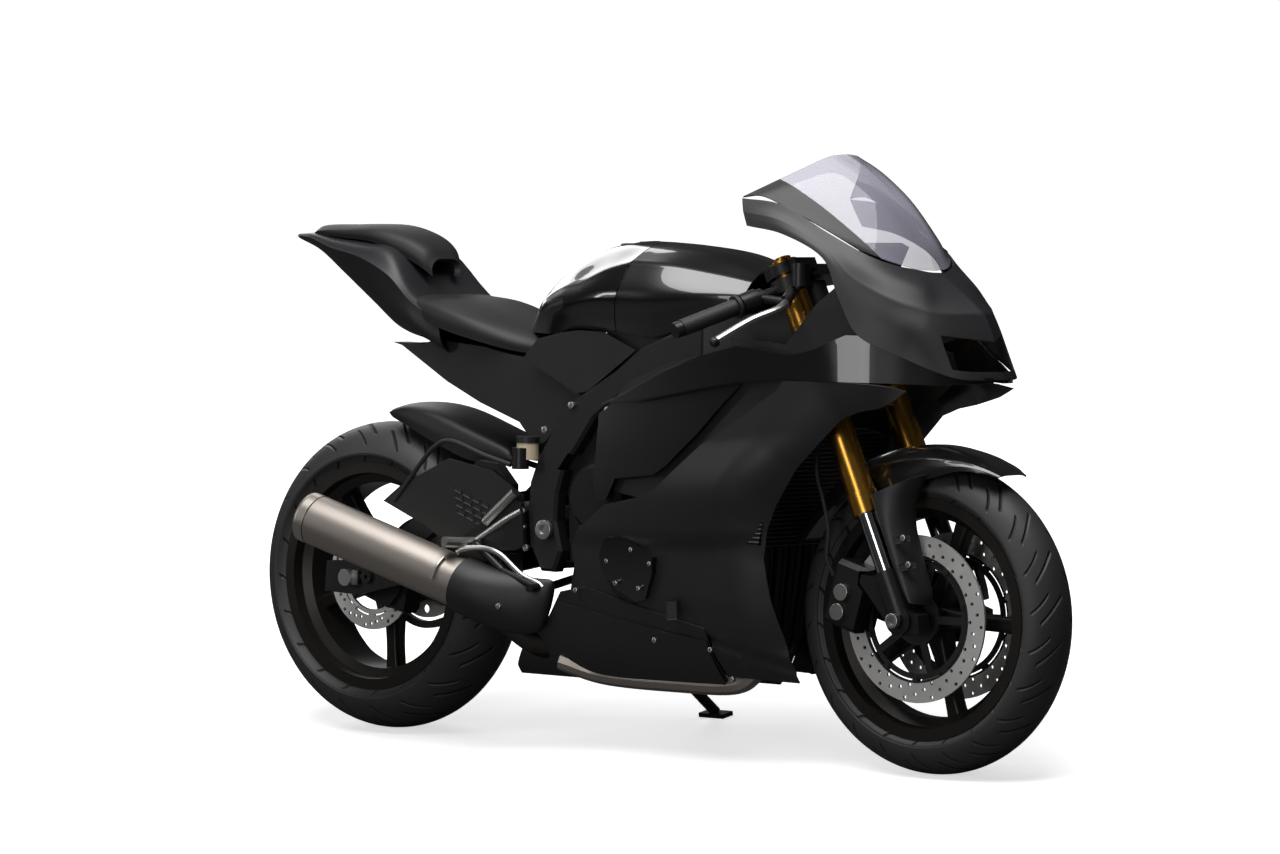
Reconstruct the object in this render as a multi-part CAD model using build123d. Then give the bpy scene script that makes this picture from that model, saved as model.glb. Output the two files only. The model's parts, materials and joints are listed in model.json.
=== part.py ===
from build123d import *
import math
import os

# A sport bike, in millimetres.  Every piece is modelled with the bike upright: +X forward, +Y to the
# rider's left, +Z up, origin on the ground midway between the wheels.  The last section leans the
# whole bike onto its side stand and sets the origin under the middle of its box.

# ------------------------------------------------------------------ driving sizes
WHEELBASE = 1375
RAKE = 24               # steering axis, degrees behind vertical
TRAIL = 97
LEAN = 9.5              # parked lean to the left, degrees
STEERING_LOCK = 27      # degrees each way
RUNNING = 0.05          # radial clearance of a shaft in its bore
PANEL_GAP = 2.0         # joint between two body panels
SKIN = 4.0              # thickness of a body panel

FRONT_TYRE_RADIUS, FRONT_TYRE_HALF, FRONT_CROWN_DROP = 300, 60, 52
REAR_TYRE_RADIUS, REAR_TYRE_HALF, REAR_CROWN_DROP = 315, 90, 62
TYRE_WALL = 9
RIM_RADIUS = 233        # outer edge of the flanges of a 17 inch rim
BEAD_RADIUS = 218
WELL_RADIUS = 198
RIM_WALL = 7
FLANGE = 6
FRONT_RIM_HALF, REAR_RIM_HALF = 52, 76
SPOKES = 5
FRONT_SPOKE_PHASE, REAR_SPOKE_PHASE = 20, 34

AXLE_RADIUS, AXLE_BORE = 12.5, 9.0
REAR_AXLE_RADIUS = 12.5
FRONT_DISC_RADIUS, FRONT_DISC_Y = 160, 66
REAR_DISC_RADIUS, REAR_DISC_Y = 110, -70
DISC_THICKNESS = 5
DISC_CLEARANCE = 5      # disc to caliper, each side
CARRIER_ROOM = 4.5      # extra room in a caliper for the disc's carrier, on the wheel's side
SPROCKET_RADIUS, SPROCKET_Y, SPROCKET_THICKNESS = 94, 102, 7
CHAIN_INNER, CHAIN_DEPTH, CHAIN_WIDTH = 101, 15, 14
CHAIN_ROOM = 5          # clear space round the chain
FRONT_SPROCKET_X, FRONT_SPROCKET_Z, FRONT_SPROCKET_INNER = -90, 432, 40

FORK_Y = 105
FORK_OUTER_RADIUS, FORK_INNER_RADIUS = 27.5, 21.5
FORK_OUTER_LOW, FORK_OUTER_TOP = 216, 736      # along the leg, from the axle
FORK_CAP_RADIUS, FORK_CAP_HEIGHT = 30, 42
CARRIER_TOP = 98
CARRIER_IN, CARRIER_OUT = 80, 128
STEM_RADIUS, STEM_BORE = 15, 8
HEAD_RADIUS, HEAD_LOW, HEAD_TOP = 32, 540, 700
LOWER_CLAMP, LOWER_CLAMP_THICK = 515, 32
UPPER_CLAMP, UPPER_CLAMP_THICK = 717, 22
STEM_LOW_FACE, STEM_TOP_FACE = 499, 737

BAR_RADIUS, GRIP_RADIUS = 11, 16.5
BAR_CLAMP, BAR_CLAMP_HEIGHT, BAR_RING_RADIUS = 687, 26, 37.5
CLAMP_ROOM = 54         # radius that clears the upper clamp's corners, about each leg
LEG_ROOM = 7            # clear space round a leg's top, from lock to lock
BAR_END = (311, -341, 841)

FRAME_OUT, FRAME_IN = 150, 120
ARM_OUT, ARM_IN = 138, 114
NECK_HALF = 114.5       # the swingarm's width between the frame's plates
PIVOT_TUBE = 24
PIVOT_X, PIVOT_Z = -165, 433
ENGINE_HALF = 114

CAP_X, CAP_RADIUS, CAP_POCKET_RADIUS = -50, 38, 46
CAP_LOW, CAP_TOP, CAP_HINGE_X, CAP_HINGE_Z = 990, 1003, -8, 1007

STAND_PIVOT = (-110, 122, 200)
STAND_FOOT_X, STAND_FOOT_Y = -62, 285
STAND_RADIUS, STAND_PIN_RADIUS = 11, 7
STAND_FOLDED = (-1.0, 0.08, 0.06)
STAND_EYE, EAR = 12, 7
FOOT_LENGTH, FOOT_WIDTH, FOOT_THICK = 62, 34, 9

SPOOL_RADIUS, SPOOL_DEPTH, SPOOL_X, SPOOL_Z = 4, 18, -640, 318

# ------------------------------------------------------------------ derived places
FRONT_X, REAR_X = WHEELBASE / 2, -WHEELBASE / 2
FRONT_Z, REAR_Z = FRONT_TYRE_RADIUS, REAR_TYRE_RADIUS
SIN, COS = math.sin(math.radians(RAKE)), math.cos(math.radians(RAKE))
FORK_OFFSET = FRONT_TYRE_RADIUS * SIN - TRAIL * COS      # axle ahead of the steering axis
FRONT_AXLE = Pos(FRONT_X, 0, FRONT_Z)
REAR_AXLE = Pos(REAR_X, 0, REAR_Z)


def on_fork(along, ahead=0.0, y=0.0):
    """A point in the fork's own directions: up the leg from the axle, and ahead of the leg."""
    return Vector(FRONT_X - SIN * along + COS * ahead, y, FRONT_Z + COS * along + SIN * ahead)


def fork_plane(along, ahead=0.0, y=0.0):
    return Plane(origin=on_fork(along, ahead, y), x_dir=(COS, 0, SIN), z_dir=(-SIN, 0, COS))


STEERING_POINT = on_fork(0, -FORK_OFFSET)
STEERING_AXIS = Vector(-SIN, 0, COS)


# ------------------------------------------------------------------ small helpers
def side_prism(points, y_from, y_to):
    """The solid whose side view is the outline (x, z)."""
    outline = Plane.XZ * Polygon(*points)
    return Pos(0, y_from, 0) * extrude(outline, amount=y_to - y_from, dir=(0, 1, 0))


def plan_prism(points, z_from, z_to):
    """The solid whose plan view is the outline (x, y)."""
    return Pos(0, 0, z_from) * extrude(Polygon(*points), amount=z_to - z_from, dir=(0, 0, 1))


def across(x, z, y_from, y_to, radius):
    """A cylinder along Y."""
    return Pos(x, (y_from + y_to) / 2, z) * Rot(90, 0, 0) * Cylinder(radius, y_to - y_from)


def between(start, end, radius):
    start, end = Vector(*start), Vector(*end)
    plane = Plane(origin=start, z_dir=end - start)
    return plane * Cylinder(radius, (end - start).length, align=(Align.CENTER, Align.CENTER, Align.MIN))


def bent_tube(points, bend, radius):
    path = FilletPolyline(*points, radius=bend)
    return sweep(Plane(origin=path @ 0, z_dir=path % 0) * Circle(radius), path=path)


def mirrored(shape):
    return mirror(shape, about=Plane.XZ)


def both_sides(shape):
    return shape + mirrored(shape)


def disc_ring(radius, bore, y, thickness):
    return across(0, 0, y - thickness / 2, y + thickness / 2, radius) - across(
        0, 0, y - thickness, y + thickness, bore)


def about_y(angle):
    return Rot(0, angle, 0)


# ------------------------------------------------------------------ wheels
def crown_circle(radius, half, drop):
    """Centre radius and own radius of the round crown that spans a tyre's two shoulders."""
    own = (drop * drop + half * half) / (2 * drop)
    return radius - own, own


def crown_arcs(radius, half, drop):
    """The crown from one shoulder to the other, as two arcs that meet on the centre line."""
    centre, own = crown_circle(radius, half, drop)
    angle = math.atan2(half, radius - drop - centre) / 2
    way = (centre + own * math.cos(angle), own * math.sin(angle))
    left = ThreePointArc((radius, 0), way, (radius - drop, half))
    return mirror(left, about=Plane.XZ), left


def tyre(radius, half, drop, rim_half):
    shoulder = radius - drop
    bead = rim_half - FLANGE - 0.2
    side = Polyline((shoulder, half), (RIM_RADIUS + 2, rim_half - 1), (RIM_RADIUS + 0.5, bead),
                    (BEAD_RADIUS + 0.2, bead), (BEAD_RADIUS + 0.2, bead - TYRE_WALL + 2),
                    (RIM_RADIUS + 4, bead - TYRE_WALL + 2), (shoulder - TYRE_WALL + 5, half - TYRE_WALL))
    edges = [*crown_arcs(radius, half, drop),
             *crown_arcs(radius - TYRE_WALL, half - TYRE_WALL, drop - 5), side, mirror(side, about=Plane.XZ)]
    return revolve(make_face(Curve() + edges), axis=Axis.Y)


def rim(half, hub_radius, hub_half, phase):
    outer = [(RIM_RADIUS, half), (RIM_RADIUS, half - FLANGE), (BEAD_RADIUS, half - FLANGE),
             (BEAD_RADIUS - 2, half - 28), (WELL_RADIUS, half - 37)]
    inner = [(BEAD_RADIUS - RIM_WALL, half), (BEAD_RADIUS - RIM_WALL - 2, half - 24),
             (WELL_RADIUS - RIM_WALL, half - 34)]
    profile = outer + [(r, -y) for r, y in reversed(outer)]
    profile += [(r, -y) for r, y in inner] + list(reversed(inner))
    barrel = revolve(Polygon(*profile), axis=Axis.Y)
    spoke = loft([
        Pos(0, 0, hub_radius - 6) * RectangleRounded(46, 50, 8),
        Pos(0, 0, (hub_radius + WELL_RADIUS) / 2) * RectangleRounded(30, 36, 8),
        Pos(0, 0, WELL_RADIUS - RIM_WALL / 2) * RectangleRounded(34, 34, 8)])
    wheel = barrel + across(0, 0, -hub_half, hub_half, hub_radius)
    for number in range(SPOKES):
        wheel += about_y(phase + 360 / SPOKES * number) * spoke
    return wheel - across(0, 0, -hub_half - 1, hub_half + 1, AXLE_RADIUS + RUNNING)


def drilled_disc(radius, inner, y, groups, hub_radius, bore):
    """A floating disc: drilled ring, bobbins and a five-armed carrier, joined as one."""
    ring = disc_ring(radius, inner, y, DISC_THICKNESS)
    rows = 4
    span = (radius - inner - 16) / (rows - 1)
    holes = [about_y(360 / groups * g + 9 * r) * across(inner + 8 + span * r, 0, y - 9, y + 9, 3.6)
             for g in range(groups) for r in range(rows)]
    ring -= holes
    side = 1 if y > 0 else -1
    carrier_y = y - side * 3
    carrier = disc_ring(inner - 3, inner - 13, carrier_y, 5) + disc_ring(hub_radius, bore, carrier_y, 5)
    arm_length = inner - 8 - bore - 4
    arm = Pos((inner - 8 + bore + 4) / 2, carrier_y, 0) * Box(arm_length, 5, 15)
    for number in range(5):
        carrier += about_y(72 * number) * arm
    bobbin = across(inner - 2, 0, carrier_y - 3.5, y + side * 3 if side > 0 else y - 3, 6.5) \
        if side > 0 else across(inner - 2, 0, y - 3, carrier_y + 3.5, 6.5)
    for number in range(10):
        carrier += about_y(36 * number + 18) * bobbin
    return ring + carrier


def front_wheel_nodes():
    hub_half = CARRIER_IN - 3
    wheel = rim(FRONT_RIM_HALF, 30, 48, FRONT_SPOKE_PHASE)
    spacer = across(0, 0, 48, hub_half, 19) - across(0, 0, 40, hub_half + 1, AXLE_RADIUS + RUNNING)
    flange = across(0, 0, 48, FRONT_DISC_Y - 5.5, 44) - across(0, 0, 40, 99, AXLE_RADIUS + RUNNING)
    wheel += both_sides(spacer + flange)
    disc = drilled_disc(FRONT_DISC_RADIUS, 118, FRONT_DISC_Y, 15, 50, 20)
    return {
        "front_rim": FRONT_AXLE * wheel,
        "front_tyre": FRONT_AXLE * tyre(FRONT_TYRE_RADIUS, FRONT_TYRE_HALF, FRONT_CROWN_DROP,
                                        FRONT_RIM_HALF),
        "front_discs": FRONT_AXLE * both_sides(disc),
    }


def rear_wheel_nodes():
    wheel = rim(REAR_RIM_HALF, 38, 64, REAR_SPOKE_PHASE)
    disc = drilled_disc(REAR_DISC_RADIUS, 82, REAR_DISC_Y, 10, 44, 39)
    wheel += across(0, 0, REAR_DISC_Y + 5.5, -60, 44) - across(0, 0, -90, 0, AXLE_RADIUS + RUNNING)
    wheel += across(0, 0, 60, SPROCKET_Y - SPROCKET_THICKNESS / 2, 62) - across(
        0, 0, 0, 120, AXLE_RADIUS + RUNNING)
    sprocket = disc_ring(SPROCKET_RADIUS, 40, SPROCKET_Y, SPROCKET_THICKNESS)
    windows = [about_y(60 * number + 30) * across(76, 0, 60, 120, 9) for number in range(6)]
    sprocket -= windows
    return {
        "rear_rim": REAR_AXLE * wheel,
        "rear_tyre": REAR_AXLE * tyre(REAR_TYRE_RADIUS, REAR_TYRE_HALF, REAR_CROWN_DROP,
                                      REAR_RIM_HALF),
        "rear_disc": REAR_AXLE * disc,
        "rear_sprocket": REAR_AXLE * sprocket,
    }


# ------------------------------------------------------------------ fork and controls
def clamp_plate(along, thick):
    """A triple clamp: a plate that joins both legs to the stem."""
    outline = Polygon((44, -FORK_Y - 22), (44, FORK_Y + 22), (-30, FORK_Y + 30),
                      (-FORK_OFFSET - 30, 30), (-FORK_OFFSET - 30, -30), (-30, -FORK_Y - 30))
    waist = Polygon((60, -70), (60, 70), (12, 44), (12, -44))
    eyes = [Pos(0, side * FORK_Y) * Circle(FORK_OUTER_RADIUS + 11) for side in (-1, 1)]
    stem_eye = Pos(-FORK_OFFSET, 0) * Circle(STEM_RADIUS + 14)
    sketch = outline - waist + eyes + stem_eye
    holes = [Pos(0, side * FORK_Y) * Circle(FORK_OUTER_RADIUS) for side in (-1, 1)]
    return fork_plane(along - thick / 2) * extrude(sketch - holes, amount=thick)


def triple_clamps():
    stem = fork_plane(STEM_LOW_FACE, -FORK_OFFSET) * Cylinder(
        STEM_RADIUS, UPPER_CLAMP - STEM_LOW_FACE, align=(Align.CENTER, Align.CENTER, Align.MIN))
    bore = fork_plane(STEM_LOW_FACE - 40, -FORK_OFFSET) * Cylinder(
        STEM_BORE, STEM_TOP_FACE - STEM_LOW_FACE + 80, align=(Align.CENTER, Align.CENTER, Align.MIN))
    nut = fork_plane(UPPER_CLAMP, -FORK_OFFSET) * Cylinder(
        19, STEM_TOP_FACE - UPPER_CLAMP, align=(Align.CENTER, Align.CENTER, Align.MIN))
    plates = clamp_plate(LOWER_CLAMP, LOWER_CLAMP_THICK) + clamp_plate(UPPER_CLAMP, UPPER_CLAMP_THICK)
    return plates + stem + nut - bore


def leg_cylinder(low, top, radius, y):
    return fork_plane(low, 0, y) * Cylinder(radius, top - low,
                                            align=(Align.CENTER, Align.CENTER, Align.MIN))


def lock_room(low, top, radius):
    """The room that both legs need, from low to top along them, as the fork turns from lock to lock."""
    axis = Axis(STEERING_POINT, STEERING_AXIS)
    leg = leg_cylinder(low, top, radius, -FORK_Y)
    steps = [STEERING_LOCK * step / 3 for step in range(-3, 4)]
    return both_sides(Part() + [leg.rotate(axis, angle) for angle in steps])


def fork_outer(y):
    tube = leg_cylinder(FORK_OUTER_LOW, FORK_OUTER_TOP, FORK_OUTER_RADIUS, y)
    tube += leg_cylinder(FORK_OUTER_LOW, FORK_OUTER_LOW + FORK_CAP_HEIGHT, FORK_CAP_RADIUS, y)
    tube += leg_cylinder(FORK_OUTER_LOW + 160, FORK_OUTER_LOW + 166, FORK_OUTER_RADIUS + 1, y)
    tube += leg_cylinder(FORK_OUTER_TOP, FORK_OUTER_TOP + 8, 17, y)
    return tube - leg_cylinder(FORK_OUTER_LOW - 1, FORK_OUTER_LOW + 130, FORK_INNER_RADIUS + 0.3, y)


def fork_inner(y):
    return leg_cylinder(CARRIER_TOP, FORK_OUTER_LOW + 125, FORK_INNER_RADIUS, y)


def axle_carriers():
    """Both axle clamps, with the hollow axle that joins them."""
    foot = leg_cylinder(6, CARRIER_TOP, 28, FORK_Y) + across(FRONT_X, FRONT_Z, CARRIER_IN, CARRIER_OUT, 28)
    front_lug = side_prism([(FRONT_X + 44, FRONT_Z + 12), (FRONT_X + 46, FRONT_Z - 22),
                            (FRONT_X + 8, FRONT_Z - 30), (FRONT_X, FRONT_Z + 26)], 88, 122)
    rear_lug = side_prism([(FRONT_X - 34, FRONT_Z + 74), (FRONT_X - 98, FRONT_Z + 82),
                           (FRONT_X - 102, FRONT_Z + 66), (FRONT_X - 30, FRONT_Z - 14),
                           (FRONT_X - 10, FRONT_Z + 20)], 90, 112)
    feet = both_sides(foot + front_lug + rear_lug)
    feet += across(FRONT_X, FRONT_Z, -CARRIER_OUT - 6, CARRIER_OUT + 2, AXLE_RADIUS)
    return feet - across(FRONT_X, FRONT_Z, -CARRIER_OUT - 30, CARRIER_OUT + 30, AXLE_BORE)


def caliper_block(x, z, turn, depth_in, depth_out, y_in, y_out, length, disc_y, disc_radius):
    """A caliper that wraps a disc: a rounded block with a slot as deep as the disc reaches."""
    height = depth_in + depth_out
    block = Pos(disc_radius - depth_in + height / 2, (y_in + y_out) / 2, 0) * Box(
        height, y_out - y_in, length)
    block = chamfer(block.edges().filter_by(Axis.X), 9)
    slot_half = DISC_THICKNESS / 2 + DISC_CLEARANCE
    wheel_side = CARRIER_ROOM if disc_y > 0 else -CARRIER_ROOM
    faces = sorted((disc_y + slot_half, disc_y - slot_half, disc_y - math.copysign(slot_half, disc_y) - wheel_side))
    slot = across(0, 0, faces[0], faces[-1], disc_radius + DISC_CLEARANCE)
    return Pos(x, 0, z) * about_y(turn) * (block - slot)


def front_calipers():
    left = caliper_block(FRONT_X, FRONT_Z, -164, 56, 15, 42, 112, 128, FRONT_DISC_Y,
                         FRONT_DISC_RADIUS)
    keep_clear = side_prism([(FRONT_X - 30, FRONT_Z + 90), (FRONT_X - 104, FRONT_Z + 88),
                             (FRONT_X - 106, FRONT_Z + 60), (FRONT_X - 30, FRONT_Z - 18)], 88, 120)
    leg = leg_cylinder(-60, 200, 30, FORK_Y)
    return both_sides(left - keep_clear - leg)


BAR_START = on_fork(BAR_CLAMP, 0, -FORK_Y)
BAR_ALONG = Vector(*BAR_END) - BAR_START


def on_bar(fraction, ahead=0.0, up=0.0):
    point = BAR_START + BAR_ALONG * fraction
    return Vector(point.X + ahead, point.Y, point.Z + up)


def handlebars():
    ring = leg_cylinder(BAR_CLAMP - BAR_CLAMP_HEIGHT / 2, BAR_CLAMP + BAR_CLAMP_HEIGHT / 2,
                        BAR_RING_RADIUS, -FORK_Y)
    bar = between(on_bar(0.13), on_bar(0.97), BAR_RADIUS)
    weight = between(on_bar(0.945), on_bar(1.0), GRIP_RADIUS - 1)
    bore = leg_cylinder(BAR_CLAMP - 60, BAR_CLAMP + 60, FORK_OUTER_RADIUS, -FORK_Y)
    return both_sides(ring + bar + weight - bore)


def grips():
    grip = between(on_bar(0.47), on_bar(0.94), GRIP_RADIUS)
    flange = between(on_bar(0.455), on_bar(0.48), GRIP_RADIUS + 6)
    return both_sides(grip + flange - between(on_bar(0.1), on_bar(1.2), BAR_RADIUS))


LEVER_PIVOT = (452, -176, 897)
LEVER_ROUTE = [LEVER_PIVOT, (468, -222, 884), (447, -282, 862), (408, -340, 822)]


def hand_controls():
    """Switch housings, lever perches and levers of both sides, and the front brake's master cylinder."""
    housing = between(on_bar(0.305), on_bar(0.44), 21)
    perch = between(on_bar(0.25), on_bar(0.31), 17) + between(on_bar(0.28), LEVER_PIVOT, 9)
    lever = between(LEVER_ROUTE[0], LEVER_ROUTE[1], 8)
    lever += between(LEVER_ROUTE[1], LEVER_ROUTE[2], 7)
    lever += between(LEVER_ROUTE[2], LEVER_ROUTE[3], 6)
    for point, radius in zip(LEVER_ROUTE, (10, 8, 7, 10)):
        lever += Pos(*point) * Sphere(radius)
    side = housing + perch + lever - between(on_bar(0.1), on_bar(1.2), BAR_RADIUS)
    master = between((456, -180, 902), (448, -150, 922), 11)
    cup = Pos(464, -148, 950) * Cylinder(18, 44)
    neck = between((448, -152, 920), (464, -148, 930), 8)
    return side + mirrored(side) + master + cup + neck


def front_fender():
    """A hugging guard over the tyre, with a plate down the front of each leg."""
    shell = [(FENDER_RADIUS, 0), (FENDER_RADIUS - 4, 38), (FENDER_RADIUS - 24, 68), (FENDER_RADIUS - 46, 76)]
    inner = [(r - SKIN, max(y - SKIN, 0)) for r, y in shell]
    profile = shell + list(reversed(inner))
    profile[-1] = (FENDER_RADIUS - SKIN, 0)
    full = both_sides(revolve(Plane.XY * Polygon(*profile), axis=Axis.Y))
    reach = 420
    start, stop = math.radians(FENDER_FRONT), math.radians(FENDER_REAR)
    middle = (start + stop) / 2
    wedge = [(0, 0)] + [(reach * math.cos(a), reach * math.sin(a)) for a in (start, middle, stop)]
    guard = FRONT_AXLE * (full & side_prism(wedge, -200, 200))
    plate = side_prism([(FRONT_X - 64, FRONT_Z + 276), (FRONT_X + 24, FRONT_Z + 282),
                        (FRONT_X + 60, FRONT_Z + 70), (FRONT_X + 40, FRONT_Z + 40),
                        (FRONT_X - 8, FRONT_Z + 66), (FRONT_X - 60, FRONT_Z + 210)], 74, 80)
    return guard + both_sides(plate)


FENDER_RADIUS = 327
FENDER_FRONT, FENDER_REAR = 64, 151


# ------------------------------------------------------------------ frame, engine and swingarm
def frame():
    """Two spars from the steering head down to the swingarm pivot, with two cross members."""
    beam = side_prism([(230, 864), (151, 831), (71, 799), (9, 753), (-80, 702), (-130, 668),
                       (-189, 567), (-205, 528), (-210, 472), (-204, 403), (-175, 353), (-140, 352),
                       (-122, 394), (-137, 453), (-133, 509), (-117, 557), (-41, 660), (38, 716),
                       (148, 752), (230, 778)], FRAME_IN, FRAME_OUT)
    beam = chamfer(beam.edges().filter_by(Axis.Y, reverse=True).group_by(Axis.Y)[-1], 6)
    window = side_prism([(-105, 590), (-132, 556), (-116, 552), (-92, 584)], 100, 170)
    nose = loft([
        Plane(origin=(230, (FRAME_IN + FRAME_OUT) / 2, 821), x_dir=(0, 1, 0), z_dir=(1, 0, 0))
        * Rectangle(FRAME_OUT - FRAME_IN - 2, 84),
        Plane(origin=(388, 34, 834), x_dir=(0, 1, 0), z_dir=(1, 0, 0)) * Rectangle(40, 92)])
    side = beam - window + nose
    head_low = on_fork(HEAD_LOW, -FORK_OFFSET)
    head = fork_plane(HEAD_LOW, -FORK_OFFSET) * Cylinder(
        HEAD_RADIUS, HEAD_TOP - HEAD_LOW, align=(Align.CENTER, Align.CENTER, Align.MIN))
    bore = fork_plane(HEAD_LOW - 5, -FORK_OFFSET) * Cylinder(
        STEM_RADIUS + RUNNING, HEAD_TOP - HEAD_LOW + 10, align=(Align.CENTER, Align.CENTER, Align.MIN))
    crosses = across(-128, 650, -FRAME_IN - 1, FRAME_IN + 1, 14) + across(
        -178, 376, -FRAME_IN - 1, FRAME_IN + 1, 9)
    pivot = across(PIVOT_X, PIVOT_Z, -FRAME_OUT - 4, FRAME_OUT + 4, 15)
    clear = fork_plane(HEAD_TOP, -FORK_OFFSET) * Cylinder(90, 60, align=(Align.CENTER, Align.CENTER, Align.MIN))
    clear += fork_plane(HEAD_LOW - 60, -FORK_OFFSET) * Cylinder(
        90, 60, align=(Align.CENTER, Align.CENTER, Align.MIN))
    whole = both_sides(side) + head + crosses - chain_loop(CHAIN_ROOM) + pivot - bore - clear
    return whole + stand_bracket()


def engine_block():
    outline = [(-128, 300), (-96, 470), (-60, 545), (20, 590), (60, 668), (150, 706), (262, 690),
               (304, 640), (286, 560), (236, 470), (226, 330), (150, 262), (-60, 262)]
    chain_room = across(FRONT_SPROCKET_X, FRONT_SPROCKET_Z, SPROCKET_Y - CHAIN_WIDTH / 2 - CHAIN_ROOM,
                        ENGINE_HALF + 1, FRONT_SPROCKET_INNER + CHAIN_DEPTH + CHAIN_ROOM)
    return side_prism(outline, -ENGINE_HALF, ENGINE_HALF) - chain_room - chain_loop(CHAIN_ROOM)


# crankcase covers: centre x, centre z, radius, thickness, side
ENGINE_COVERS = [
    (-34, 504, 66, 44, -1),
    (76, 368, 66, 62, -1),
    (66, 392, 80, 56, 1),
    (-70, 350, 50, 34, 1),
]


def engine_covers():
    covers = []
    for x, z, radius, thick, side in ENGINE_COVERS:
        near = ENGINE_HALF + 0.2
        cover = across(x, z, near, near + thick, radius)
        cover = chamfer(cover.edges().group_by(Axis.Y)[-1], 8)
        covers.append(cover if side > 0 else mirrored(cover))
    return Part() + covers


ARM_OUTLINE = [(-215, 398), (-160, 402), (-136, 433), (-160, 464), (-215, 470), (-300, 560),
               (-350, 566), (-450, 480), (-668, 352), (-752, 346), (-756, 284), (-668, 280),
               (-400, 340)]


def swingarm():
    """Two braced arms and a cross box ahead of the tyre, on the pivot tube."""
    arm = side_prism(ARM_OUTLINE, ARM_IN, ARM_OUT)
    behind_plates = plan_prism([(-262, 60), (-262, 200), (-900, 200), (-900, 60)], 200, 700)
    slot = side_prism([(REAR_X - 14, REAR_Z - 13), (REAR_X + 30, REAR_Z - 13),
                       (REAR_X + 30, REAR_Z + 13), (REAR_X - 14, REAR_Z + 13)], 60, 200)
    window = side_prism([(-360, 520), (-340, 440), (-560, 350), (-430, 440)], 60, 200)
    cross = side_prism([(-262, 394), (-318, 388), (-345, 430), (-330, 480), (-262, 476)],
                       -ARM_IN - 1, ARM_IN + 1)
    neck = side_prism([(-264, 394), (-160, 410), (-141, 433), (-160, 456), (-264, 476)],
                      -NECK_HALF, NECK_HALF)
    tube = across(PIVOT_X, PIVOT_Z, -NECK_HALF, NECK_HALF, PIVOT_TUBE)
    link = side_prism([(-262, 400), (-215, 402), (-222, 350), (-246, 350)], -24, 24)
    arms = both_sides((arm & behind_plates) - slot - window) + cross + neck + tube + link
    arms -= across(PIVOT_X, PIVOT_Z, -200, 200, 15.5)
    spool = across(SPOOL_X, SPOOL_Z, ARM_OUT - SPOOL_DEPTH, ARM_OUT + 30, SPOOL_RADIUS)
    boss = across(SPOOL_X, SPOOL_Z, ARM_IN + 1, ARM_OUT + 6, 13)
    return arms + both_sides(boss) - both_sides(spool) - chain_loop(CHAIN_ROOM)


def rear_axle():
    """The rear spindle with its adjuster blocks and nut."""
    spindle = across(REAR_X, REAR_Z, -ARM_OUT - 14, ARM_OUT + 10, REAR_AXLE_RADIUS)
    block = Pos(REAR_X + 2, ARM_OUT + 3.3, REAR_Z) * Box(46, 6, 30)
    nut = across(REAR_X, REAR_Z, ARM_OUT + 6, ARM_OUT + 18, 17)
    spacer = across(REAR_X, REAR_Z, -ARM_IN + 0.3, -72, 18)
    return both_sides(block + nut) + spindle + spacer


def rear_caliper():
    body = caliper_block(REAR_X, REAR_Z, 12, 44, 13, -100, -52, 92, REAR_DISC_Y, REAR_DISC_RADIUS)
    plate = side_prism([(REAR_X - 24, REAR_Z - 26), (REAR_X + 76, REAR_Z - 60),
                        (REAR_X + 108, REAR_Z - 24), (REAR_X + 108, REAR_Z + 26),
                        (REAR_X - 20, REAR_Z + 26)], -108, -99)
    return body + plate - across(REAR_X, REAR_Z, -130, -40, 19)


def chain_loop(room):
    """The band that the chain takes round both sprockets, with room added on every side."""
    low = SPROCKET_Y - CHAIN_WIDTH / 2 - room
    high = SPROCKET_Y + CHAIN_WIDTH / 2 + room
    heading = math.atan2(FRONT_SPROCKET_Z - REAR_Z, FRONT_SPROCKET_X - REAR_X)
    distance = math.hypot(FRONT_SPROCKET_X - REAR_X, FRONT_SPROCKET_Z - REAR_Z)

    def belt(rear_radius, front_radius):
        spread = math.acos((rear_radius - front_radius) / distance)
        rear, front = [], []
        for angle in (heading + spread, heading - spread):
            rear.append((REAR_X + rear_radius * math.cos(angle), REAR_Z + rear_radius * math.sin(angle)))
            front.append((FRONT_SPROCKET_X + front_radius * math.cos(angle),
                          FRONT_SPROCKET_Z + front_radius * math.sin(angle)))
        runs = side_prism([rear[0], front[0], front[1], rear[1]], low, high)
        ends = across(REAR_X, REAR_Z, low, high, rear_radius) + across(
            FRONT_SPROCKET_X, FRONT_SPROCKET_Z, low, high, front_radius)
        return runs + ends

    outer = CHAIN_DEPTH + room
    return belt(CHAIN_INNER + outer, FRONT_SPROCKET_INNER + outer) - belt(
        CHAIN_INNER - room, FRONT_SPROCKET_INNER - room)


def rear_hugger():
    """The guard over the rear tyre, the vented cover on the right arm and the chain guard."""
    outline = [(-655, 657), (-593, 673), (-517, 665), (-330, 598), (-318, 570), (-400, 560)]
    guard = side_prism(outline + [(-655, 600)], -84, 84) - across(REAR_X, REAR_Z, -99, 99,
                                                                  REAR_TYRE_RADIUS + 12)
    guard -= side_prism([(-670, 649), (-593, 669), (-517, 661), (-334, 594), (-323, 572), (-323, 540),
                         (-670, 540)], -80, 80)
    cover = side_prism([(-592, 475), (-549, 506), (-419, 567), (-306, 548), (-253, 517), (-222, 500),
                        (-240, 440), (-356, 372), (-420, 372)], -ARM_OUT - 8, -ARM_OUT - 2)
    chain_guard = side_prism([(-660, 450), (-380, 500), (-350, 490), (-380, 476), (-640, 438)],
                             SPROCKET_Y - 6, ARM_IN - 1)
    return guard + cover + chain_guard


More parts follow.
